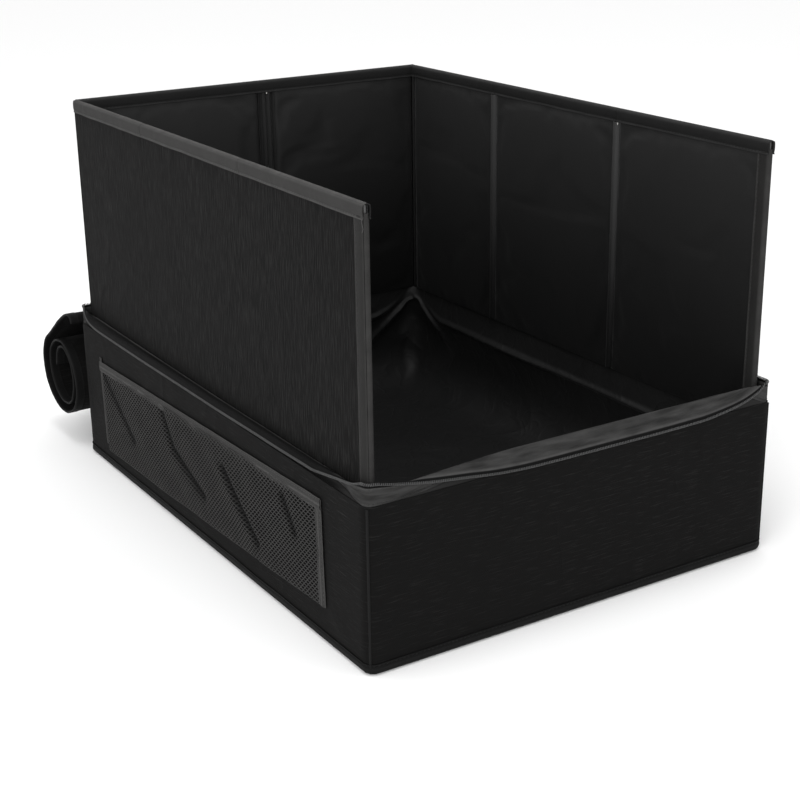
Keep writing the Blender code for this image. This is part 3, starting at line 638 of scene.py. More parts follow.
def tape_finish(name, colour):
    """Ribbed binding tape, with painted highlights along its edges and over its crest."""
    finish = Finish(name, 0.65, specular=0.08)
    tape = finish.group("Ribbed tape", tape_group, vector=finish.cloth, width=tape_cut,
                        ribs=tape_ribs)
    # Painted highlights on the edges and over the crest.
    painted_highlight = shade(colour, 2.2)
    base = finish.mix(finish.mottle(40.0)["Cloud"], shade(colour, 0.72), colour)
    finish.colour(finish.mix(tape["Edge"], finish.mix(tape["Crest"], base, painted_highlight), painted_highlight))
    finish.bump((finish.creases(30.0, 3.0), tape["Height"]), tape_bumps)
    return finish.material


def plain_finish(name, colour, roughness, specular=0.5, metallic=0.0, darker_by=0.8):
    """Moulded or painted stuff with a fine grain and slow variation."""
    finish = Finish(name, roughness, specular=specular)
    finish.inputs["Metallic"].default_value = metallic
    cloud = finish.mottle(300.0, speck_share=0.0)["Cloud"]
    finish.colour(finish.mix(cloud, shade(colour, darker_by), colour))
    finish.rough(cloud, roughness - 0.06, roughness + 0.06)
    finish.bump((cloud,), (fine_grain,))
    return finish.material


def net_finish(name, colours):
    """Thread of the net, with painted shade in the valleys where the net is pulled in."""
    finish = Finish(name, 0.7, specular=0.1)
    cloud = finish.mottle(60.0)["Cloud"]
    thread = finish.mix(cloud, colours.net, shade(colours.net, 2.0))
    # The painted deep value darkens the thread as painted shade in the valleys.
    finish.colour(finish.mix(finish.painted("deep"), thread, shade(colours.net, 0.15)))
    finish.bump((cloud,), (fine_grain,))
    return finish.material


def finish_of(name):
    """Any finish by its name, made when it is first asked for."""
    found = bpy.data.materials.get(name)
    if found:
        return found
    colours = bpy.context.scene.litter_box_colours
    makers = {
        "tray_cloth": (outer_finish, colours, False),
        "guard_cloth": (outer_finish, colours, True),
        "satin_cloth": (satin_finish, colours, 1.0),
        # The welts' lining: the same satin, brighter as a painted highlight.
        "welt_cloth": (satin_finish, colours, 2.4),
        "coated_cloth": (liner_finish, colours),
        "grey_tape": (tape_finish, colours.binding),
        # The front edge's upright tape: the grey tape darkened as painted shade.
        "edge_tape": (tape_finish, shade(colours.binding, 0.55)),
        # The guard tape's inner leg: the grey tape in painted shade.
        "dark_tape": (tape_finish, colours.dark_binding),
        "black_tape": (tape_finish, shade(colours.dark_binding, 0.4)),
        "zip_cloth": (zip_finish, colours, True),
        "collar_cloth": (zip_finish, colours, False),
        "grey_thread": (plain_finish, colours.binding, 0.6),
        "pale_thread": (plain_finish, colours.pale, 0.5),
        "dark_thread": (plain_finish, colours.dark_binding, 0.6),
        "coil_plastic": (plain_finish, colours.coil, 0.38),
        "painted_zinc": (plain_finish, colours.metal, 0.34, 0.5, 0.6),
        "net_thread": (net_finish, colours),
        "board_sheet": (plain_finish, colours.board, 0.7),
        "floor": (plain_finish, colours.floor, 0.9, 0.1, 0.0, 1.0),
    }
    make, *given = makers[name]
    return make(name, *given)


# The tray's round rim

wall_fade_at_foot, wall_fade_at_rim = 20 * MM, 12 * MM


def round_rim(distance, half_x, half_y, radius):
    """Place and outward way on a rounded rectangle, a distance on from the middle of its back.

    It runs to the left, down the left side, along the front and back up the right side.
    """
    across, along = half_x - radius, 2 * (half_y - radius)
    arc = radius * math.pi / 2
    place, way = Vector((0.0, half_y)), Vector((-1.0, 0.0))
    for run in (across, along, 2 * across, along, across):
        out = Vector((way.y, -way.x))
        if distance <= run:
            break
        distance -= run
        place += way * run
        centre = place - out * radius
        if distance <= arc:
            out.rotate(Matrix.Rotation(distance / radius, 2))
            return centre + out * radius, out
        distance -= arc
        place = centre + way * radius
        way = -out
    return place + way * min(distance, run), out


def round_length(half_x, half_y, radius):
    return 4 * (half_x + half_y) - (8 - math.tau) * radius


def wall_spot(sizes, distance, height, proud=0.0):
    """A point on the tray's outer fabric, which swells a little and turns under at the foot."""
    place, out = round_rim(distance, half_width, half_depth, sizes.corner)
    turn = sizes.foot_turn
    down = max(0.0, turn - height)
    tuck = turn - math.sqrt(max(0.0, turn**2 - down**2))
    fade = ease(height / wall_fade_at_foot) * ease((rim - height) / wall_fade_at_rim)
    uneven = 0.35 + waver(place.x * 11, place.y * 11, height * 17)
    reach = proud - tuck + sizes.swell * fade * uneven
    return Vector((place.x + out.x * reach, place.y + out.y * reach, height))


# Tray

round_columns, wall_rows, foot_rows = 420, 44, 12
wall_past_rim = 1.6 * MM
bottom_thickness, bottom_clearance, bottom_rounding = 1.1 * MM, 0.4 * MM, 0.3 * MM
corner_segments = 8
piping_from, piping_wobble = 6 * MM, 0.25 * MM
piping_sides, piping_cuts = 10, 40
foot_low, foot_high = 0.8 * MM, 8.6 * MM
foot_waver, foot_proud = 0.5 * MM, 0.55 * MM
foot_puff, foot_hem_share, foot_seam_steps = 1.5, 0.82, 500
foot_thread_proud = 0.4 * MM


class LITTERBOX_OT_tray(Operator):
    """Outer fabric of the tray, its bottom, the piping up its corners and the binding at its foot"""

    bl_idname = "litterbox.tray"
    bl_label = "Tray fabric"

    def execute(self, context):
        sizes = context.scene.litter_box_sizes
        around = round_length(half_width, half_depth, sizes.corner)
        self.walls(sizes, around)
        self.bottom(sizes)
        self.piping(sizes)
        self.foot(sizes, around)
        return {"FINISHED"}

    def walls(self, sizes, around):
        top = rim + wall_past_rim
        form = sheet_form(round_columns, wall_rows,
                          lambda u, v: wall_spot(sizes, u * around, v * top), around, top)
        merge(form)
        walls = make_piece("outer_walls", form, ["tray_cloth"], "outer_fabric", "tray", "tray_walls")
        thicken(walls, sizes.cloth, -1.0)

    def bottom(self, sizes):
        reach = sizes.foot_turn + bottom_clearance
        size = (2 * (half_width - reach), 2 * (half_depth - reach), bottom_thickness)
        form = block_form(size, (0, 0, bottom_thickness / 2))
        bmesh.ops.bevel(form, geom=upright_edges(form), offset=sizes.corner,
                        segments=corner_segments, affect="EDGES", profile=0.5, material=-1)
        bottom = make_piece("underside", form, ["tray_cloth"], "outer_fabric", "tray", "tray_bottom")
        round_off(bottom, bottom_rounding)

    def piping(self, sizes):
        """A cord up each corner, a little uneven along its way."""
        slant = sizes.corner * (math.sqrt(0.5) - 1)
        form = bmesh.new()
        for side_x, side_y in ((-1, -1), (-1, 1), (1, -1), (1, 1)):
            tube = bmesh.new()
            bmesh.ops.create_cone(tube, cap_ends=True, segments=piping_sides, radius1=sizes.piping,
                                  radius2=sizes.piping, depth=1)
            bmesh.ops.subdivide_edges(tube, edges=upright_edges(tube), cuts=piping_cuts)
            for vertex in tube.verts:
                height = piping_from + (vertex.co.z + 0.5) * (rim - piping_from)
                wobble = piping_wobble * waver(side_x * 3, side_y * 5, height * 90)
                vertex.co = Vector((side_x * (half_width + slant) + vertex.co.x + wobble,
                                    side_y * (half_depth + slant) + vertex.co.y + wobble, height))
            add_form(form, tube)
        make_piece("corner_piping", form, ["black_tape"], "binding", "tray")

    def foot(self, sizes, around):
        """Tape round the bottom edge, with the stitches near its upper edge."""
        def foot_spot(u, v):
            height = foot_low + (foot_high - foot_low) * v
            lift = foot_waver * waver(u * around * 24, v, 3)
            proud = foot_proud + foot_puff * tape_profile(v)
            return wall_spot(sizes, u * around, height + lift * v, proud)

        form = sheet_form(round_columns, foot_rows, foot_spot, around, tape_cut)
        merge(form)
        foot = make_piece("foot_binding", form, ["black_tape"], "binding", "tray", "bottom_binding")
        thicken(foot, sizes.tape)
        hem = []
        for spot in traced(foot_spot, foot_hem_share, foot_seam_steps):
            hem.append(spot + Vector((spot.x, spot.y, 0)).normalized() * foot_thread_proud)
        sew("foot_stitches", [hem], sizes, "tray")


# Liner

liner_room, liner_lift, liner_thickness = 0.3 * MM, 0.5 * MM, 0.5 * MM
liner_corner, liner_hem_corner, liner_cove = 22 * MM, 9 * MM, 42 * MM
liner_skirt, liner_cut_down = 100 * MM, 420 * MM
liner_rows, liner_merge = 110, 0.05 * MM
hem_behind_guard, hem_below_guard = 2.7 * MM, 0.6 * MM
hem_tuck_from, hem_tuck_run = 26 * MM, 30 * MM
ridge_height, ridge_width = 5 * MM, 2.5 * MM
ridge_below_hem, ridge_drop, ridge_run = 6 * MM, 19 * MM, 60 * MM
ridge_starts, ridge_level = 12 * MM, 90 * MM
above_ridge, below_ridge = 8 * MM, 10 * MM
above_ridge_share, below_ridge_share, cove_share = 0.12, 0.5, 0.7
fan_rise, fan_full, fan_fade = 30 * MM, 40 * MM, 80 * MM
fan_width, fan_least_run = math.radians(6), 0.1 * MM
fan_steeper, fan_share, slack_share, loose_until = 1.15, 0.8, 0.4, 0.97
fans = {
    "back": ((math.radians(36), 1.0), (math.radians(62), 0.2)),
    "front": ((math.radians(30), 0.6), (math.radians(58), 0.7)),
}
dense_run, dense_step, coarse_step = 70 * MM, 2 * MM, 5.3 * MM
floor_ripple = 2.4 * MM
skirt_share = 0.62


class LinerShape:
    """Where the liner's cloth lies, from its hem over a sharp ridge and a cove to the floor."""

    def __init__(self, sizes):
        low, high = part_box("waterproof_liner")
        self.fold = sizes.liner_fold
        self.wall_x, self.wall_y = high.x - liner_room, -low.y - liner_room
        self.floor = low.z + liner_lift
        self.hem_inset = self.wall_x - (guard_outer["right"] - hem_behind_guard)
        self.hem = guard_bottom - hem_below_guard
        self.front_hem = high.z - liner_room
        self.around = round_length(self.wall_x, self.wall_y, liner_corner)
        near, far = self.wall_x - dense_run, self.wall_x + dense_run
        self.marks = [0.0, near, far, self.around - far, self.around - near, self.around]
        self.counts = [0.0]
        for index, (start, end) in enumerate(zip(self.marks, self.marks[1:])):
            step = dense_step if index % 2 else coarse_step
            self.counts.append(self.counts[-1] + (end - start) / step)

    def spread(self, share_of):
        """How far round a share of the columns is. They stand closer at the back corners."""
        at = share_of * self.counts[-1]
        for index in range(len(self.marks) - 1):
            if at <= self.counts[index + 1]:
                run = (at - self.counts[index]) / (self.counts[index + 1] - self.counts[index])
                start, end = self.marks[index:index + 2]
                return (start + (end - start) * run) / self.around
        return 1.0

    def profile(self, place, v):
        """Inset and height a share of the way down the skirt."""
        front = ease((-self.wall_y + liner_corner - place.y) / liner_corner)
        back = 1 - front
        risen = ease(front * (self.wall_x - abs(place.x)) / (2 * liner_corner))
        top = self.hem + (self.front_hem - self.hem) * risen
        away = min(self.wall_x - abs(place.x) + self.wall_y - place.y, ridge_level)
        ridge = self.hem - ridge_drop * ease(away / ridge_run) - ridge_below_hem
        steps = ((0.0, top), (above_ridge_share, min(top, ridge + above_ridge)),
                 (below_ridge_share, ridge - below_ridge),
                 (cove_share, self.floor + liner_cove), (1.0, self.floor))
        for (v0, z0), (v1, z1) in zip(steps, steps[1:]):
            if v <= v1:
                height = z0 + (z1 - z0) * (v - v0) / (v1 - v0)
                break
        inset = self.hem_inset * back * ease((height - ridge + hem_tuck_from) / hem_tuck_run)
        uneven = 0.8 + 0.4 * waver(place.x * 9, place.y * 9, 2)
        tall = ease((away - ridge_starts) / ridge_run) * back * uneven
        inset += ridge_height * tall * math.exp(-((height - ridge) / ridge_width) ** 2)
        down = max(0.0, 1 - (height - self.floor) / liner_cove)
        inset += liner_cove * (1 - math.sqrt(max(0.0, 1 - down * down)))
        return inset, height

    def loose(self, place, height, v):
        """Folds that fan out from each corner, and slack along the walls."""
        fan = 0.0
        side = self.wall_x - abs(place.x)
        for name, end in (("back", self.wall_y - place.y), ("front", self.wall_y + place.y)):
            along, down = side + end, self.hem - height
            reach = math.hypot(along, down)
            strong = ease(reach / fan_rise) * (1 - ease((reach - fan_full) / fan_fade))
            angle = math.atan2(down, max(along, fan_least_run))
            for at, tall in fans[name]:
                off = (angle - at * (fan_steeper if end < side else 1.0)) / fan_width
                fan += strong * tall * math.exp(-2 * abs(off) ** 1.5)
        slack = max(0.0, waver(place.x * 7, place.y * 7, height * 26))
        window = math.sin(math.pi * min(1.0, v / loose_until)) ** 0.5
        return self.fold * window * (fan_share * fan + slack_share * slack)

    def spot(self, share_of, v):
        if v > skirt_share:
            return self.floor_spot(share_of, (v - skirt_share) / (1 - skirt_share))
        u, down = self.spread(share_of), v / skirt_share
        radius = liner_hem_corner + (liner_corner - liner_hem_corner) * ease(3 * down)
        place = self.rounded(u, 0.0, radius)[0]
        inset, height = self.profile(place, down)
        drawn = max(0.0, inset - 0.5 * radius)
        place, out = self.rounded(u, drawn, radius)
        place -= out * (inset - drawn + self.loose(place, height, down))
        return Vector((place.x, place.y, height))

    def rounded(self, u, inset, radius):
        half_x, half_y = self.wall_x - inset, self.wall_y - inset
        return round_rim(u * round_length(half_x, half_y, radius), half_x, half_y, radius)

    def floor_spot(self, share_of, inwards):
        edge = self.spot(share_of, skirt_share)
        x, y = edge.x * (1 - inwards), edge.y * (1 - inwards)
        ripple = max(0.0, waver(x * 13, y * 13, 7)) * ease(4 * inwards)
        return Vector((x, y, self.floor + floor_ripple * ripple))


class LITTERBOX_OT_liner(Operator):
    """Loose waterproof liner, with a ledge fold under the guard, corner folds and a coved foot"""

    bl_idname = "litterbox.liner"
    bl_label = "Liner"

    def execute(self, context):
        shape = LinerShape(context.scene.litter_box_sizes)
        form = sheet_form(round_columns, liner_rows, shape.spot, shape.around, liner_cut_down)
        merge(form, liner_merge)
        liner = make_piece("liner", form, ["coated_cloth"], "liner", "tray", "waterproof_liner")
        thicken(liner, liner_thickness)
        return {"FINISHED"}


# Rim collar and zip

zip_end_from_corner, zip_inset, zip_fold = 44 * MM, 1 * MM, 2 * MM
zip_thickness, zip_slack = 0.6 * MM, 1.2 * MM
zip_tape_share, zip_seam_shares = 0.95, (0.12, 0.82)
zip_thread_proud = 0.35 * MM
least_fall, folded_fall = 0.01 * MM, 0.3 * MM
left_hollow, hollow_run = 3.4 * MM, 9 * MM
coil_reach, coil_cut = 0.85 * MM, 2 * MM
coil_flatness_share = 0.85
coil_sides, coil_steps = 5, 9
zip_columns, zip_rows, zip_seam_steps, collar_rows = 520, 14, 699, 12
collar_cut, collar_thickness = 20 * MM, 0.5 * MM
collar_up, collar_out, collar_puff, collar_in = 0.4 * MM, 0.1 * MM, 0.4 * MM, 3.5 * MM
collar_outside_share = 0.6
# Where the painted light and shade of the zip's tape and collar fall.
lit_from_side, lit_from_end = 9 * MM, 6 * MM
shade_from_front, shade_at_back, shade_at_front = 24 * MM, 14 * MM, 24 * MM
lit_foot_from, lit_foot_run = 2.6 * MM, 2.2 * MM
stop_share, stop_cuts, stop_smoothing = 0.96, 3, 0.3
stop_waist_y, stop_waist_z, stop_flare_y, stop_flare_z = 0.72, 0.8, 0.5, 0.3
straight_on = 0.999

# Rows in millimetres: how far along the side from its corner's arc, then the outward reach and the
# height above the rim of the tape's foot, of its fold and of its coil
upright_row = (0, 0, 1.4, 0, 17, 0, 17.2)
left_rows = (
    upright_row,
    (10, -4, 7, -3, 12.6, 1.5, 9),
    (26, -5.5, 8.5, -5, 11.2, 2.5, 5.8),
    (55, -5.5, 8.5, -5, 11, 3, 4.9),
    (250, -5.5, 7, -5, 9, 3, 5),
    (430, -5.5, 6.4, -5, 8.6, 2.5, 6.1),
    (442, -5, 6, -4.5, 9, 2, 7.4),
    (455, -4, 5.5, -3.3, 10, 2, 9.5),
    (468, -3, 4.5, -1.5, 11.3, 2, 11.6),
    (483, -1, 2.2, 0, 13.4, 1.5, 13.6),
    (494, 0, 1.4, 0, 17, 0, 17.2),
)
front_rows = (
    upright_row,
    (18, 0, 1.4, 0, 13.8, 0.8, 13.6),
    (44, -0.5, 3.5, -0.5, 14.9, 1.5, 9.2),
    (76, -2, 9.3, -1.5, 16.2, 2, 5.5),
    (101, -2.6, 13.6, -1.8, 17.3, 2.2, 2.5),
    (134, -2.6, 14.5, -1.8, 17.6, 2.2, 0.8),
    (285, -2.6, 14.5, -1.8, 17.7, 2.2, 0.9),
    (307, -2.6, 14.5, -1.8, 17.8, 2, 2.8),
    (330, -2, 12, -1.2, 17.8, 1.5, 6.6),
    (346, -0.5, 5, -0.2, 17.6, 0.6, 11.6),
    (354, 0, 1.4, 0, 17, 0, 17.2),
)


def smooth_row(rows, at):
    """The values at a place on smooth curves through the rows."""
    index = 0
    while index < len(rows) - 2 and at > rows[index + 1][0]:
        index += 1
    first, second = rows[index], rows[index + 1]
    before, after = rows[max(0, index - 1)], rows[min(len(rows) - 1, index + 2)]
    run = second[0] - first[0]
    t = max(0.0, min(1.0, (at - first[0]) / run))
    values = []
    for place in range(1, len(first)):
        start_slope = (second[place] - before[place]) / (second[0] - before[0]) * run
        end_slope = (after[place] - first[place]) / (after[0] - first[0]) * run
        values.append(
            first[place] * (2 * t**3 - 3 * t**2 + 1) + start_slope * (t**3 - 2 * t**2 + t)
            + second[place] * (3 * t**2 - 2 * t**3) + end_slope * (t**3 - t**2)
        )
    return values


def rim_spot(sizes, distance):
    """A place on the wall's top edge, its outward way, and the tape's foot, fold and coil."""
    place, out = round_rim(distance, half_width - zip_inset, half_depth - zip_inset,
                           sizes.corner - zip_inset)
    row = upright_row[1:]
    if out.x < -straight_on:
        past = 0.5 - place.y / (2 * (half_depth - sizes.corner))
        row = smooth_row(left_rows, past * left_rows[-1][0])
    if out.y < -straight_on:
        past = 0.5 + place.x / (2 * (half_width - sizes.corner))
        row = smooth_row(front_rows, past * front_rows[-1][0])
    foot, fold, coil = (Vector((row[index], row[index + 1])) * MM for index in (0, 2, 4))
    return Vector((place.x, place.y, rim)), out, foot, fold, coil


def tape_spot(sizes, distance, share_of):
    """A point of the zip's tape, from its foot at nought over its rounded fold to its coil at one.

    Next come the ways along the tape's section and square to it.
    """
    edge, out, foot, fold, coil = rim_spot(sizes, distance)
    rise, fall = fold - foot, coil - fold
    up, down = rise.length, max(fall.length, least_fall)
    rise.normalize()
    fall = fall / down if fall.length > folded_fall else rise
    round_by = min(zip_fold, up, down)
    along = share_of * (up + down)
    if along < up - round_by:
        reach, way = foot + rise * along, rise
    elif along > up + round_by:
        reach, way = fold + fall * (along - up), fall
    else:
        t = (along - up + round_by) / (2 * round_by)
        first, last = fold - rise * round_by, fold + fall * round_by
        reach = first * (1 - t) ** 2 + fold * 2 * t * (1 - t) + last * t * t
        way = (rise * (1 - t) + fall * t).normalized()
    wave = waver(distance * 14, share_of * 2, 2) + 0.6 * waver(distance * 5, share_of * 4.5, 9)
    sag = zip_slack * wave * ease(down / zip_cut) * ease(share_of)
    if out.x < -0.5 and along > up:
        sag -= left_hollow * math.sin(math.pi * (along - up) / down) * ease(down / hollow_run)
    reach = reach + Vector((way.y, -way.x)) * sag
    spot = edge + Vector((out.x * reach.x, out.y * reach.x, reach.y))
    across = Vector((out.x * way.y, out.y * way.y, -way.x))
    return spot, Vector((out.x * way.x, out.y * way.x, way.y)), across


def open_to_light(spot):
    """Painted light: nought in the left tape's shaded hollow, one in the open, two on its highlit
    foot.
    """
    if spot.x > -half_width + lit_from_side or abs(spot.y) > half_depth - lit_from_end:
        return 1.0
    to_back, to_front = half_depth - lit_from_end - spot.y, half_depth + spot.y
    hidden = ease(to_back / shade_at_back) * ease((to_front - shade_from_front) / shade_at_front)
    highlight_share = ease((spot.x + half_width - lit_foot_from) / lit_foot_run) * hidden
    return 1 - hidden + (1 + hidden) * highlight_share


class LITTERBOX_OT_rim(Operator):
    """Soft collar over the boards' tops, the zip's tape with its coil, and the zip's end stops"""

    bl_idname = "litterbox.rim"
    bl_label = "Rim and zip"

    def execute(self, context):
        sizes = context.scene.litter_box_sizes
        half_x, half_y = half_width - zip_inset, half_depth - zip_inset
        around = round_length(half_x, half_y, sizes.corner - zip_inset)
        self.collar(sizes, around)
        first = half_width - zip_end_from_corner
        run = around - 2 * first
        self.tape(sizes, first, run)
        self.coil(sizes, first, run)
        for node in ("zip_left_stop", "zip_right_stop"):
            self.stop(node)
        return {"FINISHED"}

    def collar(self, sizes, around):
        def collar_spot(u, v):
            """Up the outside from the wall's edge, over the foot and down behind the board."""
            edge, out, foot = rim_spot(sizes, u * around)[:3]
            aside = Vector((out.x, out.y, 0))
            foot = edge + aside * foot.x + Vector((0, 0, foot.y))
            if v > collar_outside_share:
                down = (v - collar_outside_share) / (1 - collar_outside_share)
                return foot + (edge - aside * collar_in - foot) * down
            up = v / collar_outside_share
            outer = edge + aside * collar_out + Vector((0, 0, collar_up))
            return outer + (foot - outer) * up + aside * collar_puff * math.sin(math.pi * up)

        form = sheet_form(round_columns, collar_rows, collar_spot, around, collar_cut)
        merge(form)
        # Painted light and shade, which the collar's finish reads.
        paint(form, "open", open_to_light)
        collar = make_piece("collar", form, ["collar_cloth"], "outer_fabric", "tray", "rim_collar")
        thicken(collar, collar_thickness)

    def tape(self, sizes, first, run):
        def tape_place(u, v):
            return tape_spot(sizes, first + u * run, v * zip_tape_share)[0]

        form = sheet_form(zip_columns, zip_rows, tape_place, run, zip_cut)
        # Painted light and shade, which the tape's finish reads.
        paint(form, "open", open_to_light)
        tape = make_piece("tape_of_zip", form, ["zip_cloth"], "zip_tape", "tray", "zip_tape")
        thicken(tape, zip_thickness)

        def thread_place(u, v):
            spot, _, across = tape_spot(sizes, first + u * run, v * zip_tape_share)
            return spot + across * zip_thread_proud

        seams = [traced(thread_place, seam_share, zip_seam_steps) for seam_share in zip_seam_shares]
        sew("zip_stitches", seams, sizes, "tray")

    def coil(self, sizes, first, run):
        """One wire wound along the tape's edge, a little flattened."""
        turns = round(run / sizes.coil_pitch)

        def coil_place(u, v):
            angle, around_wire = math.tau * turns * u, math.tau * v
            reach = coil_reach + sizes.coil_wire * math.cos(around_wire)
            slide = u * run + sizes.coil_wire * math.sin(around_wire)
            spot, along, across = tape_spot(sizes, first + max(0.0, min(run, slide)), 1.0)
            aside = across * (reach * math.cos(angle) * coil_flatness_share)
            return spot + aside + along * (reach * math.sin(angle))

        form = sheet_form(turns * coil_steps, coil_sides, coil_place, run, coil_cut)
        merge(form)
        bmesh.ops.recalc_face_normals(form, faces=form.faces)
        make_piece("coil_of_zip", form, ["coil_plastic"], "zip_teeth", "tray", "zip_teeth")

    def stop(self, node):
        """A metal stop, crimped in at its middle."""
        low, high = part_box(node)
        middle = (low + high) / 2
        form = block_form((high - low) * stop_share, middle)
        bmesh.ops.subdivide_edges(form, edges=form.edges, cuts=stop_cuts, use_grid_fill=True)
        for vertex in form.verts:
            off = abs(vertex.co.x - middle.x) / (high.x - low.x)
            vertex.co.y = middle.y + (vertex.co.y - middle.y) * (stop_waist_y + stop_flare_y * off)
            vertex.co.z = middle.z + (vertex.co.z - middle.z) * (stop_waist_z + stop_flare_z * off)
        bmesh.ops.smooth_vert(form, verts=form.verts, factor=stop_smoothing, use_axis_x=True,
                              use_axis_y=True, use_axis_z=True)
        smooth_more(make_piece(node + "_crimp", form, ["painted_zinc"], "zip_metal", "tray", node))


# Slider and pull

grip_first, grip_step, grip_reach, grip_radius = 3.5 * MM, 2.2 * MM, 2.2 * MM, 0.45 * MM
grip_ribs, grip_sides = 5, 8
metal_rounding, metal_segments, metal_sharp = 0.35 * MM, 3, math.radians(50)


class LITTERBOX_OT_slider(Operator):
    """The zip's slider and its pull tab, with rounded edges and a grip on the tab"""

    bl_idname = "litterbox.slider"
    bl_label = "Slider and pull"

    def execute(self, context):
        for node, body in (("zip_slider", "zip_slider_body"), ("zip_pull", "zip_pull_body")):
            form = bmesh.new()
            form.from_mesh(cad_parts[node].data)
            merge(form)
            bmesh.ops.dissolve_limit(form, angle_limit=math.radians(1), verts=form.verts,
                                     edges=form.edges)
            if node == "zip_pull":
                self.grip(form, *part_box(node))
            piece = make_piece(node + "_shape", form, ["painted_zinc"], "zip_metal", body, node)
            round_off(piece, metal_rounding, metal_segments)
            piece.data.set_sharp_from_angle(angle=metal_sharp)
        return {"FINISHED"}

    def grip(self, form, low, high):
        """Ribs across each face of the tab."""
        middle = (low.y + high.y) / 2
        for step in range(grip_ribs):
            height = low.z + grip_first + grip_step * step
            for x in (low.x, high.x):
                ends = [Vector((x, middle + aside, height)) for aside in (-grip_reach, grip_reach)]
                rod(form, *ends, grip_radius, grip_sides)


# Pocket

pocket_long, pocket_high, pocket_tilt = 404 * MM, 84 * MM, math.radians(1.7)
pocket_sunk = 0.2 * MM
pocket_tape, rear_tape, rear_tape_in = 9 * MM, 4 * MM, 2 * MM
front_tape_below_top, rear_tape_above_top, rear_tape_above_foot = 1 * MM, 4 * MM, 6 * MM
pocket_tape_off_wall, pocket_tape_belly, pocket_tape_ripple = 0.5 * MM, 0.5 * MM, 0.35 * MM
pocket_tape_step, pocket_tape_thickness, pocket_thread_proud = 4 * MM, 0.6 * MM, 0.35 * MM
pocket_tape_rows, seam_steps, wide_seam_shares, narrow_seam_shares = 6, 90, (0.15, 0.85), (0.5,)
net_margin, net_off_wall, net_thickness = 4 * MM, 0.4 * MM, 0.5 * MM
net_stretch, net_turn, net_spare, net_merge_share = 1.8, math.radians(13), 2.4, 0.25
valley_width = 4 * MM

# Lines along which the net is pulled in, from its middle in shares of its length and height
valley_shares = (
    ((-0.49, 0.39), (-0.33, -0.17)),
    ((-0.165, 0.39), (-0.115, 0.05), (0.02, -0.24)),
    ((0.12, 0.2), (0.25, -0.33)),
    ((0.36, 0.3), (0.4, 0.02)),
)
valleys = [[Vector((x * pocket_long, y * pocket_high)) for x, y in line] for line in valley_shares]
pocket_low, pocket_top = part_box("pocket_binding")
pocket_middle = (pocket_low + pocket_top) / 2
pocket_middle.x = pocket_top.x - pocket_sunk


def pocket_spot(x, y, proud):
    """From the pocket's own plane, x to the front and y up, to its place on the wall."""
    across = x * math.cos(pocket_tilt) - y * math.sin(pocket_tilt)
    up = x * math.sin(pocket_tilt) + y * math.cos(pocket_tilt)
    return pocket_middle + Vector((-proud, -across, up))


def valley_depth(spot):
    """One on the line of a valley of the net, falling to nought beside it."""
    dip = 0.0
    for line in valleys:
        for start, end in zip(line, line[1:]):
            run = end - start
            t = max(0.0, min(1.0, (spot.xy - start).dot(run) / run.length_squared))
            dip = max(dip, math.exp(-(((spot.xy - start - run * t).length / valley_width) ** 2)))
    return dip


def net_proud(sizes, spot):
    """How far the net bellies off the wall."""
    u, v = 0.5 + spot.x / pocket_long, 0.5 - spot.y / pocket_high
    swell = (math.sin(math.pi * max(0.0, min(1.0, u))) * math.sin(math.pi * (0.1 + 0.8 * v))) ** 0.5
    swell *= 0.8 + 0.6 * waver(spot.x * 22 + spot.y * 30, spot.y * 12, 4)
    return net_off_wall + sizes.net_swell * max(0.0, swell) * (1 - valley_depth(spot))


def tape_on_pocket(start, end, width, index):
    """The place of a point u along and v across one of the pocket's tapes, and the tape's run."""
    run, way = (end - start).length, (end - start).normalized()
    across = Vector((-way.y, way.x))
    lift = pocket_tape_off_wall * (2 if index == 0 else 1)

    def place(u, v):
        flat = start + way * (u * run) + across * ((v - 0.5) * width)
        belly = pocket_tape_belly * math.sin(math.pi * v)
        ripple = pocket_tape_ripple * waver(u * run * 60, v * 2, index)
        return pocket_spot(flat.x, flat.y, lift + belly + ripple)

    return place, run


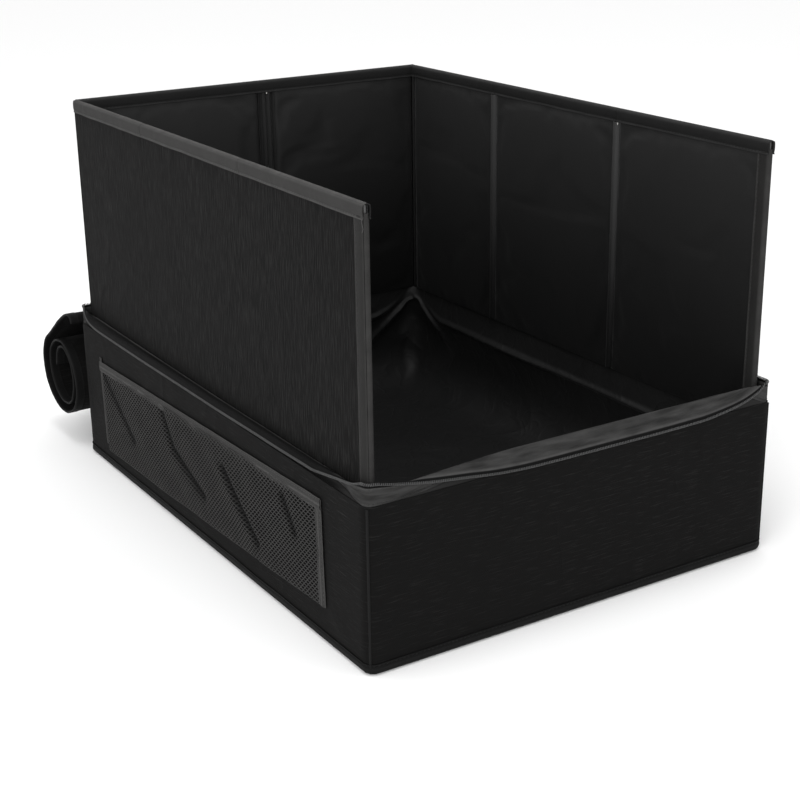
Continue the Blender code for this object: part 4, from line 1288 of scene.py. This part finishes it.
class LITTERBOX_OT_pocket(Operator):
    """Net of the side pocket, a little slack, and the tape round its top and ends"""

    bl_idname = "litterbox.pocket"
    bl_label = "Mesh pocket"

    def execute(self, context):
        sizes = context.scene.litter_box_sizes
        self.net(sizes)
        self.tapes(sizes)
        return {"FINISHED"}

    def net(self, sizes):
        """A slanting grid of diamonds, cut to the pocket, of which only its cells' rims stay."""
        form = bmesh.new()
        cell = Vector((net_stretch * sizes.net_cell, sizes.net_cell))
        cells = pocket_long / cell.x + net_spare * pocket_high / cell.y
        bmesh.ops.create_grid(form, x_segments=round(cells), y_segments=round(cells),
                              size=cells / math.sqrt(8))
        bmesh.ops.rotate(form, verts=form.verts, matrix=Matrix.Rotation(math.radians(45), 3, "Z"))
        bmesh.ops.scale(form, verts=form.verts, vec=(cell.x, cell.y, 1))
        bmesh.ops.rotate(form, verts=form.verts, matrix=Matrix.Rotation(net_turn, 3, "Z"))
        net_x, net_low = pocket_long / 2 - net_margin, -pocket_high / 2
        net_high = pocket_high / 2 - net_margin
        planes = (((net_x, 0, 0), (1, 0, 0)), ((-net_x, 0, 0), (-1, 0, 0)),
                  ((0, net_high, 0), (0, 1, 0)), ((0, net_low, 0), (0, -1, 0)))
        for place, way in planes:
            bmesh.ops.bisect_plane(form, geom=form.verts[:] + form.edges[:] + form.faces[:],
                                   plane_co=place, plane_no=way, clear_outer=True)
        merge(form, net_merge_share * sizes.net_cell)
        rims = bmesh.ops.inset_individual(form, faces=form.faces[:], thickness=sizes.net_cord / 2)
        kept = set(rims["faces"])
        bmesh.ops.delete(form, geom=[face for face in form.faces if face not in kept],
                         context="FACES_ONLY")
        # Painted shade for the net's valleys, read by its finish.
        paint(form, "deep", valley_depth)
        for vertex in form.verts:
            vertex.co = pocket_spot(vertex.co.x, vertex.co.y, net_proud(sizes, vertex.co))
        net = make_piece("pocket_net_cloth", form, ["net_thread"], "net", "tray", "mesh_pocket")
        thicken(net, net_thickness)

    def tapes(self, sizes):
        """One along the top, one down the front end and the narrow one at the rear end."""
        wide, tall = pocket_long / 2, pocket_high / 2
        top, front, rear = tall - pocket_tape / 2, wide - pocket_tape / 2, rear_tape_in - wide
        runs = (
            ((wide, top), (-wide, top), pocket_tape, wide_seam_shares),
            ((front, tall - front_tape_below_top), (front, -tall), pocket_tape, wide_seam_shares),
            ((rear, tall + rear_tape_above_top), (rear, rear_tape_above_foot - tall), rear_tape,
             narrow_seam_shares),
        )
        form, seams, proud = bmesh.new(), [], Vector((pocket_thread_proud, 0, 0))
        for index, (start, end, width, seam_shares) in enumerate(runs):
            place, run = tape_on_pocket(Vector(start), Vector(end), width, index)
            columns = round(run / pocket_tape_step)
            add_form(form, sheet_form(columns, pocket_tape_rows, place, run, tape_cut))
            for seam_share in seam_shares:
                seams.append([spot - proud for spot in traced(place, seam_share, seam_steps)])
        tape = make_piece("pocket_tape", form, ["grey_tape"], "binding", "tray", "pocket_binding")
        thicken(tape, pocket_tape_thickness)
        sew("pocket_stitches", seams, sizes, "tray", "grey_thread")


# Guard

tape_puff, tape_groove, tape_flare = 0.26 * MM, 0.3 * MM, 0.24 * MM
tape_turn, tape_sway, tape_step = 1.8 * MM, 0.35 * MM, 3 * MM
puff_until, groove_at, groove_width, flare_from = 0.8, 0.84, 0.07, 0.86
leg_share, tape_rows, front_tape_columns = 0.42, 18, 60
guard_seam_shares, guard_thread_proud = (0.055, 0.945), 0.3 * MM
pad_edge, pad_below_crest, pad_below_tape = 1.2 * MM, 0.8 * MM, 0.6 * MM
pucker_fade, pad_waver, least_pucker_share = 9 * MM, 0.35 * MM, 0.35
pad_flatness_along, pad_flatness_up = 6, 8
pad_rounding, pad_turn_in, pad_step, pad_rows = 2.2 * MM, 0.9 * MM, 3.4 * MM, 62
held_back, held_top, held_foot, held_side = 0.1 * MM, 1 * MM, 2 * MM, 2.5 * MM
cover_depth, cover_waver, cover_thickness = 0.42 * MM, 0.2 * MM, 0.65 * MM
cover_step, cover_rows = 6 * MM, 34
front_tape_overlap, front_tape_sway, front_tape_share = 4 * MM, 0.3 * MM, 0.9
loose_thread_out, loose_thread_in, loose_thread_down = 0.6 * MM, 1 * MM, 10 * MM
loose_thread_sides = 5

# Bends of the loose thread, in millimetres from its upper end
loose_thread_bends = ((0, 0, 0), (-1, -1, -2), (-1.6, -2.6, -3.4), (-1.2, -3.2, -6), (-2, -3, -8.5))


def guard_spot(side, along, height, depth):
    """A point of a guard wall: along it, up it, and in from its outer face."""
    way, inward = guard_ways[side]
    return way * along + Vector((0, 0, height)) + inward * (depth - guard_outer[side])


def depth_of(side, spot):
    """How far in from its guard wall's outer face a point lies."""
    return spot.dot(guard_ways[side][1]) + guard_outer[side]


def span(side, node):
    """How far a node reaches along its wall, and in from the wall's outer face."""
    ends = sorted(corner.dot(guard_ways[side][0]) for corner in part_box(node))
    return ends, sorted(depth_of(side, corner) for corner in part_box(node))


def tape_profile(down):
    """How proud a bound leg stands: puffed, pressed in along its stitches and flared at its edge."""
    puff = tape_puff * math.sin(math.pi * min(1.0, down / puff_until))
    groove = tape_groove * math.exp(-((down - groove_at) / groove_width) ** 2)
    return puff - groove + tape_flare * ease((down - flare_from) / (1 - flare_from))


def folded_tape(sizes, depths, w):
    """Section of a tape folded over an edge: how far in from its crest, and its depth."""
    outer, inner = depths[0] + sizes.tape / 2, depths[1] - sizes.tape / 2
    if w < leg_share or w > 1 - leg_share:
        down = (leg_share - w if w < leg_share else w - 1 + leg_share) / leg_share
        proud = tape_profile(down)
        inset = tape_turn + (sizes.binding_leg - tape_turn) * down
        return inset, outer - proud if w < leg_share else inner + proud
    angle = math.pi * (w - leg_share) / (1 - 2 * leg_share)
    depth = (outer + inner) / 2 - (inner - outer) / 2 * math.cos(angle)
    return tape_turn * (1 - math.sin(angle)) + sizes.tape / 2, depth


def tape_over_top(side, sizes, ends, depths):
    """Binding over a panel's top edge, its inner leg in its third finish of painted shade, its place
    and its run.
    """
    run = ends[1] - ends[0]

    def place(u, v):
        inset, depth = folded_tape(sizes, depths, v)
        along = ends[0] + u * run
        sway = tape_sway * waver(along * 45, v * 5, guard_outer[side] * 9)
        return guard_spot(side, along, guard_top - inset + sway * abs(2 * v - 1), depth)

    form = sheet_form(max(2, round(run / tape_step)), tape_rows, place, run, tape_cut)
    for face in form.faces:
        inner = depth_of(side, face.calc_center_median()) > (depths[0] + depths[1]) / 2
        # The inner leg takes the third finish, the tape in painted shade.
        face.material_index = 2 if inner else 0
    return form, place, run


def seam_lines(place, run):
    """Lines near the two edges of a folded tape, just proud of it."""
    count = max(2, round(run / tape_step))
    lines = []
    for v in guard_seam_shares:
        proud = (place(0.5, v) - place(0.5, 1 - v)).normalized() * guard_thread_proud
        lines.append([spot + proud for spot in traced(place, v, count)])
    return lines


def shift_weave(form, along):
    """Moves a form's UV map, so that the weave of pieces in one wall runs through."""
    layer = form.loops.layers.uv.active
    for face in form.faces:
        for loop in face.loops:
            loop[layer].uv.x += along


class PadShape:
    """Where a padded lining lies: full, puckered below its top seam and rounded at its ends."""

    def __init__(self, sizes, side, name):
        self.sizes, self.side = sizes, side
        self.ends, (self.back, self.face) = span(side, name + "_pad")
        low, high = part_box(name + "_pad")
        self.bottom, self.high, self.long = low.z, high.z - low.z, self.ends[1] - self.ends[0]
        self.seam = guard_top - sizes.binding_leg - pad_below_tape
        bound = sizes.binding_leg if name.endswith("front") else 0.0
        self.free_low, self.free_high = self.ends[0] + bound, self.ends[1]
        self.key = sum(ord(letter) for letter in name)

    def depth_at(self, along, height):
        u = (along - self.free_low) / (self.free_high - self.free_low)
        v = (height - self.bottom) / (self.seam - self.bottom)
        lift = 0.0
        if 0 < u < 1 and 0 < v < 1:
            lift = (1 - (2 * u - 1) ** pad_flatness_along) * (1 - (2 * v - 1) ** pad_flatness_up)
        ridge = waver(along / self.sizes.pucker_pitch, self.key, 0.5)
        strong = ease(0.5 + waver(along * 11, self.key, 8))
        strong = least_pucker_share + (1 - least_pucker_share) * strong
        pucker = self.sizes.pucker * strong * ridge * math.exp((height - self.seam) / pucker_fade)
        broad = pad_waver * waver(along * 17, height * 13, self.key)
        edge, crest = self.back + pad_edge, self.face - pad_below_crest
        return edge + (crest - edge) * lift + (pucker + broad) * min(1.0, 6 * lift)

    def spot(self, u, v):
        along, height = self.ends[0] + u * self.long, self.bottom + v * self.high
        near = min(1.0, min(along - self.ends[0], self.ends[1] - along) / pad_rounding)
        turn = pad_turn_in * (1 - math.sqrt(max(0.0, 1 - (1 - near) ** 2)))
        return guard_spot(self.side, along, height, self.depth_at(along, height) - turn)

    def held(self, spot):
        """Whether a point is sewn down, at the lining's back, its seam, its foot or its two ends."""
        along = spot.dot(guard_ways[self.side][0])
        upright = spot.z > self.seam - held_top or spot.z < self.bottom + held_foot
        aside = along < self.free_low + held_side or along > self.free_high - held_side
        return upright or aside or depth_of(self.side, spot) < self.back + held_back


class LITTERBOX_OT_guard(Operator):
    """The guard's padded linings, outer covers and the binding over its top and front edges"""

    bl_idname = "litterbox.guard"
    bl_label = "Guard panels"

    def execute(self, context):
        sizes = context.scene.litter_box_sizes
        for side in ("back", "right", "left"):
            for place in ("left", "right") if side == "back" else ("rear", "middle", "front"):
                name = f"{side}_{place}"
                body = "tray" if side == "back" else name + "_wall"
                self.pad(sizes, side, name, body)
                if side != "back":
                    self.cover(side, name, body)
                    self.binding(sizes, side, name, body)
        self.cover("back", "back", "tray")
        self.binding(sizes, "back", "back", "tray")
        return {"FINISHED"}

    def pad(self, sizes, side, name, body):
        shape, inward = PadShape(sizes, side, name), guard_ways[side][1]
        columns = round(shape.long / pad_step)
        form = sheet_form(columns, pad_rows, shape.spot, shape.long, shape.high)
        grown = bmesh.ops.extrude_face_region(form, geom=form.faces[:])
        for part in grown["geom"]:
            if isinstance(part, bmesh.types.BMVert):
                part.co -= inward * (depth_of(side, part.co) - shape.back)
        bmesh.ops.recalc_face_normals(form, faces=form.faces)
        put_in_order(form)
        pad = make_piece(name + "_lining", form, ["satin_cloth"], "satin_lining", body,
                         name + "_pad")
        settle(pad, [shape.held(vertex.co) for vertex in pad.data.vertices])
        for vertex in pad.data.vertices:
            vertex.co -= inward * max(0.0, depth_of(side, vertex.co) - shape.face)

    def cover(self, side, name, body):
        node = name + "_cover"
        ends = span(side, node)[0]
        low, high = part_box(node)
        cover_long, cover_high = ends[1] - ends[0], high.z - low.z

        def place(u, v):
            along, height = ends[0] + u * cover_long, low.z + v * cover_high
            inner = min(1.0, 6 * min(u, 1 - u)) * math.sin(math.pi * v) ** 0.5
            wave = cover_waver * waver(along * 15, height * 11, guard_outer[side] * 7)
            return guard_spot(side, along, height, cover_depth + wave * inner)

        columns = round(cover_long / cover_step)
        form = sheet_form(columns, cover_rows, place, cover_long, cover_high)
        shift_weave(form, ends[0])
        cover = make_piece(name + "_outer_cover", form, ["guard_cloth"], "outer_fabric", body, node)
        thicken(cover, cover_thickness)

    def binding(self, sizes, side, name, body):
        node = name + "_binding"
        ends, depths = span(side, node)
        form, place, run = tape_over_top(side, sizes, ends, depths)
        lines = seam_lines(place, run)
        if name.endswith("front"):
            foot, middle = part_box(node)[0].z, (depths[0] + depths[1]) / 2
            rise = guard_top - sizes.binding_leg + front_tape_overlap - foot

            def edge_place(u, v):
                inset, depth = folded_tape(sizes, depths, v)
                height = foot + u * rise
                sway = front_tape_sway * waver(height * 45, v * 5, 4)
                depth = middle + (depth - middle) * front_tape_share
                return guard_spot(side, ends[0] + inset + sway * abs(2 * v - 1), height, depth)

            edge = sheet_form(front_tape_columns, tape_rows, edge_place, rise, tape_cut)
            add_form(form, edge, 1)
            lines += seam_lines(edge_place, rise)
        # The front edge's upright tape and the inner leg are the grey tape in painted shade.
        finishes = ["grey_tape", "edge_tape", "dark_tape"]
        thicken(make_piece(name + "_tape", form, finishes, "binding", body, node), sizes.tape)
        sew(name + "_stitches", lines, sizes, body)
        if name == "left_front":
            self.loose_thread(sizes, ends[0], body)

    def loose_thread(self, sizes, front, body):
        """The end of a thread that hangs from the left wall's front top corner."""
        foot = Vector((-guard_outer["left"] - loose_thread_out, front + loose_thread_in,
                       guard_top - loose_thread_down))
        form = bmesh.new()
        thread = [foot + Vector(bend) * MM for bend in loose_thread_bends]
        for start, end in zip(thread, thread[1:]):
            rod(form, start, end, sizes.thread, loose_thread_sides)
        make_piece("loose_thread", form, ["grey_thread"], "binding", body)


# Creases

fold_cloth, corner_cloth_in = 12 * MM, 0.8 * MM
crease_below_top, crease_foot, crease_below_tape = 0.9 * MM, 1 * MM, 0.2 * MM
crease_step, crease_off_face, crease_sway = 1.2 * MM, 0.15 * MM, 0.25 * MM
least_crease_columns, crease_thickness_share = 6, 0.8
inside_columns, inside_rows, back_crease_columns, back_crease_rows = 18, 40, 34, 60
welt_over, welt_dip, lining_short = 2.6 * MM, 1.2 * MM, 4.6 * MM
welt_dip_until, welt_from, welt_fullness = 0.3, 0.24, 0.7
back_crease_in, back_crease_lift, back_crease_gap = 0.4 * MM, 0.2 * MM, 0.1 * MM
back_crease_sway, back_crease_thickness = 0.5 * MM, 0.5 * MM

# Shares of the width, each with how far the cloth comes forward there, from its base to the linings
back_crease_shares = (
    (0.0, 1.0), (0.1, 0.1), (0.24, 0.0), (0.3, 0.7), (0.4, 1.0), (0.5, 0.7),
    (0.55, 0.25), (0.6, 0.7), (0.7, 1.0), (0.8, 0.7), (0.86, 0.1), (1.0, 1.0),
)
tack_below_tape, tack_aside = 1 * MM, 1 * MM
tack_step, tack_reach, tack_radius, tack_sides = 0.5 * MM, 0.9 * MM, 0.35 * MM, 6
back_tack_depth, right_tack_depth = 4.6 * MM, 6.4 * MM


class LITTERBOX_OT_creases(Operator):
    """The cloth at each fold of the guard: outside, inner welt and binding in one"""

    bl_idname = "litterbox.creases"
    bl_label = "Creases"

    def execute(self, context):
        sizes = context.scene.litter_box_sizes
        for side in ("right", "left"):
            for place, rear, front in (("rear", "rear", "middle"), ("front", "middle", "front")):
                low, high = (span(side, f"{side}_{part}_pad")[0] for part in (front, rear))
                bodies = [f"{side}_{part}_wall" for part in (rear, front)]
                node = f"{side}_{place}_web"
                self.crease(sizes, side, place, node, (low[1], high[0]), bodies, True)
            node = "right_corner_web" if side == "right" else "left_corner_strip"
            ends = span(side, side + "_rear_pad")[0][1], guard_outer["back"] - corner_cloth_in
            self.crease(sizes, side, "corner", node, ends, ["tray", side + "_rear_wall"], False)
        left, right = span("back", "back_left_pad")[0][1], span("back", "back_right_pad")[0][0]
        self.back_crease(sizes, left, right)
        top = guard_top - sizes.binding_leg - tack_below_tape
        spot = guard_spot("back", (left + right) / 2 + tack_aside, top, back_tack_depth)
        self.tack("back_tack", spot, "tray")
        fold = span("right", "right_front_pad")[0][1] - tack_aside
        spot = guard_spot("right", fold, top, right_tack_depth)
        self.tack("right_tack", spot, "right_middle_wall")
        return {"FINISHED"}

    def tack(self, name, spot, body):
        """A short bar of pale thread that ends a seam."""
        form, reach = bmesh.new(), Vector((tack_reach, tack_reach, 0))
        for step in (-1, 0, 1):
            middle = spot + Vector((0, 0, step * tack_step))
            rod(form, middle - reach, middle + reach, tack_radius, tack_sides)
        make_piece(name, form, ["pale_thread"], "binding", body)

    def crease(self, sizes, side, place, node, ends, bodies, welted):
        """ends are along the wall, from the piece nearer the front to the one nearer the back."""
        face = span(side, side + "_middle_pad")[1][0] + pad_edge
        run, rise = ends[1] - ends[0], guard_top - crease_below_top - guard_bottom
        form = tape_over_top(side, sizes, ends, span(side, side + "_middle_binding")[1])[0]

        def outside(u, v):
            return guard_spot(side, ends[0] + u * run, guard_bottom + v * rise, cover_depth)

        columns = max(least_crease_columns, round(run / crease_step))
        strip = sheet_form(columns, cover_rows, outside, run, rise)
        shift_weave(strip, ends[0])
        add_form(form, strip, 3)
        low, high = ends[0], ends[1] - lining_short
        if welted:
            low, high = ends[0] - welt_over, ends[1] + welt_over
        foot = guard_bottom + crease_foot
        seam = guard_top - sizes.binding_leg - crease_below_tape

        def inside(u, v):
            along, height = low + u * (high - low), foot + v * (seam - foot)
            bulge = 0.0
            if welted:
                bulge = -welt_dip * math.sin(math.pi * min(1.0, u / welt_dip_until))
                up = max(0.0, (u - welt_from) / (1 - welt_from))
                bulge += sizes.welt * math.sin(math.pi * up) ** welt_fullness
            sway = crease_sway * waver(height * 30, along * 3, 5) * (0 < u < 1)
            return guard_spot(side, along + sway, height, face + crease_off_face + bulge)

        add_form(form, sheet_form(inside_columns, inside_rows, inside, high - low, rise), 4)
        # Its inner leg's tape is the grey tape in painted shade, and the welts' lining a painted
        # highlight.
        finishes = ["grey_tape", "grey_tape", "dark_tape", "guard_cloth",
                    "welt_cloth" if welted else "satin_cloth"]
        made = make_piece(f"{side}_{place}_crease", form, finishes, "outer_fabric", None, node)
        thicken(made, sizes.tape * crease_thickness_share)
        bent_to = ends[1] if welted else ends[0] + min(run, fold_cloth)
        start = guard_spot(side, bent_to, guard_top, face)
        end = guard_spot(side, ends[0], guard_top, face)
        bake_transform(made)

    def back_crease(self, sizes, left, right):
        """The wide soft crease between the back's two linings."""
        base = span("back", "back_crease_strip")[1][0] + back_crease_in
        face = span("back", "back_left_pad")[1][0] + pad_edge + back_crease_lift
        foot = guard_bottom + crease_foot
        seam = guard_top - sizes.binding_leg - crease_below_tape

        def place(u, v):
            depth_share = back_crease_shares[-1][1]
            for (u0, d0), (u1, d1) in zip(back_crease_shares, back_crease_shares[1:]):
                if u <= u1:
                    depth_share = d0 + (d1 - d0) * ease((u - u0) / (u1 - u0))
                    break
            height = foot + v * (seam - foot)
            along = left + back_crease_gap + u * (right - left - 2 * back_crease_gap)
            sway = back_crease_sway * waver(height * 24, u * 3, 2) * math.sin(math.pi * u)
            return guard_spot("back", along + sway, height, base + (face - base) * depth_share)

        form = sheet_form(back_crease_columns, back_crease_rows, place, right - left,
                          seam - guard_bottom)
        strip = make_piece("back_crease", form, ["satin_cloth"], "satin_lining", "tray",
                           "back_crease_strip")
        thicken(strip, back_crease_thickness)


# Lid

hinge_from_rim, lead_rise, lead_pull = 2.9 * MM, (5 * MM, 19 * MM), 40 * MM
roll_out, roll_down, roll_start = 45.5 * MM, 62 * MM, math.radians(60)
roll_half_deep, roll_half_high = 46 * MM, 40 * MM
roll_draw_out, roll_draw_up = 5.5 * MM, 3 * MM
roll_draw_deep, roll_draw_high = 12.5 * MM, 7.5 * MM
roll_turns, turn_steps, lead_steps, section_steps = 2.15, 40, 16, 260
lid_held_run, lid_waver, lid_creasing = 14 * MM, 0.9 * MM, 0.7 * MM
lid_tape_off, lid_tape_in, lid_tape_thickness = 0.25 * MM, 0.2 * MM, 0.35 * MM
lid_leg_share, lid_columns, lid_tape_rows, strip_rows = 0.4, 90, 14, 5
strip_waver, strip_thickness, strip_thread_proud = 0.15 * MM, 0.6 * MM, 0.35 * MM
strip_seam_shares = (0.2, 0.8)


def roll_point(turns):
    """A point of the rolled lid's section, turns in from where its lead meets the roll."""
    angle = roll_start - math.tau * turns
    middle_y = half_depth + roll_out - roll_draw_out * turns
    middle_z = rim - roll_down + roll_draw_up * turns
    reach_y = roll_half_deep - roll_draw_deep * turns
    reach_z = roll_half_high - roll_draw_high * turns
    return Vector((middle_y + reach_y * math.cos(angle), middle_z + reach_z * math.sin(angle)))


def lid_section():
    """Points of the lid's section, evenly along it, each with its way on, and the section's length.

    It runs up and over from the rim, and is then rolled inwards.
    """
    hinge, meet = Vector((half_depth + hinge_from_rim, rim)), roll_point(0)
    way = (roll_point(1 / turn_steps) - meet).normalized()
    rise, pull = hinge + Vector(lead_rise), meet - way * lead_pull
    points = []
    for step in range(lead_steps):
        t, back = step / lead_steps, 1 - step / lead_steps
        spot = hinge * back**3 + rise * 3 * back**2 * t + pull * 3 * back * t**2 + meet * t**3
        points.append(spot)
    points += [roll_point(step / turn_steps) for step in range(round(roll_turns * turn_steps) + 1)]
    lengths = [0.0]
    for first, second in zip(points, points[1:]):
        lengths.append(lengths[-1] + (second - first).length)
    section, index = [], 0
    for step in range(section_steps + 1):
        distance = lengths[-1] * step / section_steps
        while index < len(points) - 2 and distance > lengths[index + 1]:
            index += 1
        way, run = points[index + 1] - points[index], lengths[index + 1] - lengths[index]
        section.append((points[index] + way * ((distance - lengths[index]) / run), way.normalized()))
    return section, lengths[-1]


class LITTERBOX_OT_lid(Operator):
    """The soft lid rolled up behind the tray, its bound side edges and the strip that holds it"""

    bl_idname = "litterbox.lid"
    bl_label = "Rolled lid"

    def execute(self, context):
        sizes = context.scene.litter_box_sizes
        section, whole = lid_section()

        def spot(x, share_of, proud=0.0):
            point, way = section[max(0, min(section_steps, round(share_of * section_steps)))]
            held, end = ease(share_of * whole / lid_held_run), abs(x) / half_width
            loose = lid_waver * waver(x * 7, share_of * 17, 1)
            loose += (0.5 + 0.5 * end**4) * lid_creasing * waver(x * 22, share_of * 40, 6)
            point = point + Vector((-way.y, way.x)) * (loose * held + proud)
            return Vector((x, point.x, point.y))

        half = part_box("lid_roll")[1].x
        form = sheet_form(lid_columns, section_steps, lambda u, v: spot((2 * u - 1) * half, v),
                          2 * half, whole)
        lid = make_piece("lid_cloth", form, ["tray_cloth"], "outer_fabric", "rolled_lid", "lid_roll")
        thicken(lid, sizes.lid, 0.0)
        for side, sign in (("left", -1), ("right", 1)):
            self.side_tape(sizes, side, sign, spot, whole)
        self.strip(sizes)
        return {"FINISHED"}

    def side_tape(self, sizes, side, sign, spot, whole):
        """Tape folded over the lid's side edge: two legs and the turn at their outer end."""
        node = f"lid_{side}_binding"
        near, far = sorted(abs(corner.x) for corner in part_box(node))
        off = sizes.lid / 2 + lid_tape_off

        def place(u, w):
            if lid_leg_share <= w <= 1 - lid_leg_share:
                angle = math.pi * ((w - lid_leg_share) / (1 - 2 * lid_leg_share) - 0.5)
                x, proud = far - off + off * math.cos(angle), off * math.sin(angle)
            else:
                x = near + (far - near - off) * min(w, 1 - w) / lid_leg_share
                proud = math.copysign(off, w - 0.5)
            return spot(sign * (x - lid_tape_in), u, proud)

        form = sheet_form(section_steps, lid_tape_rows, place, whole, tape_cut)
        tape = make_piece(f"lid_{side}_tape", form, ["black_tape"], "binding", "rolled_lid", node)
        thicken(tape, lid_tape_thickness)

    def strip(self, sizes):
        """The strip along which the lid is sewn to the back of the rim."""
        low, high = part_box("lid_hinge_strip")

        def place(u, v):
            x = low.x + u * (high.x - low.x)
            wave = strip_waver * waver(x * 30, v * 3, 2)
            return Vector((x, (low.y + high.y) / 2 + wave, low.z + v * (high.z - low.z)))

        form = sheet_form(seam_steps, strip_rows, place, high.x - low.x, tape_cut)
        strip = make_piece("lid_strip", form, ["black_tape"], "outer_fabric", "tray",
                           "lid_hinge_strip")
        thicken(strip, strip_thickness)
        proud = Vector((0, strip_thread_proud, 0))
        seams = [[spot + proud for spot in traced(place, v, seam_steps)] for v in strip_seam_shares]
        sew("lid_strip_stitches", seams, sizes, "tray")


class LITTERBOX_OT_boards(Operator):
    """The stiffener boards inside the fabric, kept as they are, with a board's finish"""

    bl_idname = "litterbox.boards"
    bl_label = "Stiffener boards"

    def execute(self, context):
        for name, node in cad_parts.items():
            if name.endswith("_board"):
                node.data.materials.clear()
                node.data.materials.append(finish_of("board_sheet"))
        return {"FINISHED"}


# Stage

camera_place = Vector((-0.6651, -1.07135, 0.5505))
camera_azimuth = math.radians(31.91)
camera_drop = math.radians(20.12)
camera_roll = math.radians(-0.85)
focal_pixels, photo_pixels, sensor_width = 1568.6, 800, 36.0
floor_half, floor_cells, floor_drop = 9.0, 8, 0.2 * MM
lamp_aim = Vector((0, 0, 0.1))

# The lamps' names, places, sizes in metres and powers in watts
lamps = (
    ("key", (-1.9, -1.5, 1.3), 1.2, 26.0),
    ("top", (-0.3, -0.2, 2.4), 0.9, 14.0),
)


class LITTERBOX_OT_stage(Operator):
    """Pale floor, soft light and the camera at the photograph's angle"""

    bl_idname = "litterbox.stage"
    bl_label = "Stage"

    def execute(self, context):
        scene = context.scene
        self.floor(scene)
        world = bpy.data.worlds.new("studio")
        scene.world = world
        world.use_nodes = True
        sky = world.node_tree.nodes["Background"].inputs
        sky["Color"].default_value = (1.0, 1.0, 1.0, 1.0)
        sky["Strength"].default_value = 1.0
        for name, place, size, power in lamps:
            lamp = bpy.data.lights.new(name, "AREA")
            lamp.size = size
            lamp.energy = power
            made = bpy.data.objects.new(name, lamp)
            scene.collection.objects.link(made)
            made.location = place
            made.rotation_euler = (lamp_aim - Vector(place)).to_track_quat("-Z", "Y").to_euler()
        self.camera(scene)
        scene.view_settings.view_transform = "Standard"
        return {"FINISHED"}

    def floor(self, scene):
        form = bmesh.new()
        bmesh.ops.create_grid(form, x_segments=floor_cells, y_segments=floor_cells, size=floor_half)
        mesh = bpy.data.meshes.new("floor")
        form.to_mesh(mesh)
        form.free()
        floor = bpy.data.objects.new("floor", mesh)
        scene.collection.objects.link(floor)
        floor.location.z = -floor_drop
        mesh.materials.append(finish_of("floor"))

    def camera(self, scene):
        lens = bpy.data.cameras.new("camera")
        lens.sensor_width = sensor_width
        lens.lens = sensor_width * focal_pixels / photo_pixels
        camera = bpy.data.objects.new("camera", lens)
        scene.collection.objects.link(camera)
        camera.location = camera_place
        turn = Matrix.Rotation(-camera_azimuth, 4, "Z")
        turn = turn @ Matrix.Rotation(math.radians(90) - camera_drop, 4, "X")
        camera.rotation_euler = (turn @ Matrix.Rotation(camera_roll, 4, "Z")).to_euler()
        scene.camera = camera


class LITTERBOX_PT_panel(Panel):
    """Every step of the litter box, in order"""

    bl_idname = "LITTERBOX_PT_panel"
    bl_label = "Litter box"
    bl_space_type = "VIEW_3D"
    bl_region_type = "UI"
    bl_category = "Litter box"

    def draw(self, context):
        for operator in operators:
            self.layout.operator(operator.bl_idname)
        for group in (context.scene.litter_box_sizes, context.scene.litter_box_colours):
            column = self.layout.column()
            for name in group.__annotations__:
                column.prop(group, name)


operators = (
    LITTERBOX_OT_tray,
    LITTERBOX_OT_liner,
    LITTERBOX_OT_rim,
    LITTERBOX_OT_slider,
    LITTERBOX_OT_pocket,
    LITTERBOX_OT_guard,
    LITTERBOX_OT_creases,
    LITTERBOX_OT_lid,
    LITTERBOX_OT_boards,
    LITTERBOX_OT_stage,
)
classes = (LitterBoxSizes, LitterBoxColours, *operators, LITTERBOX_PT_panel)


def register():
    for each in classes:
        bpy.utils.register_class(each)
    bpy.types.Scene.litter_box_sizes = PointerProperty(type=LitterBoxSizes)
    bpy.types.Scene.litter_box_colours = PointerProperty(type=LitterBoxColours)


def unregister():
    del bpy.types.Scene.litter_box_colours
    del bpy.types.Scene.litter_box_sizes
    for each in reversed(classes):
        bpy.utils.unregister_class(each)


def main():
    register()
    for operator in operators:
        step = operator.bl_idname.split(".")[1]
        getattr(bpy.ops.litterbox, step)()


if __name__ == "__main__":
    main()
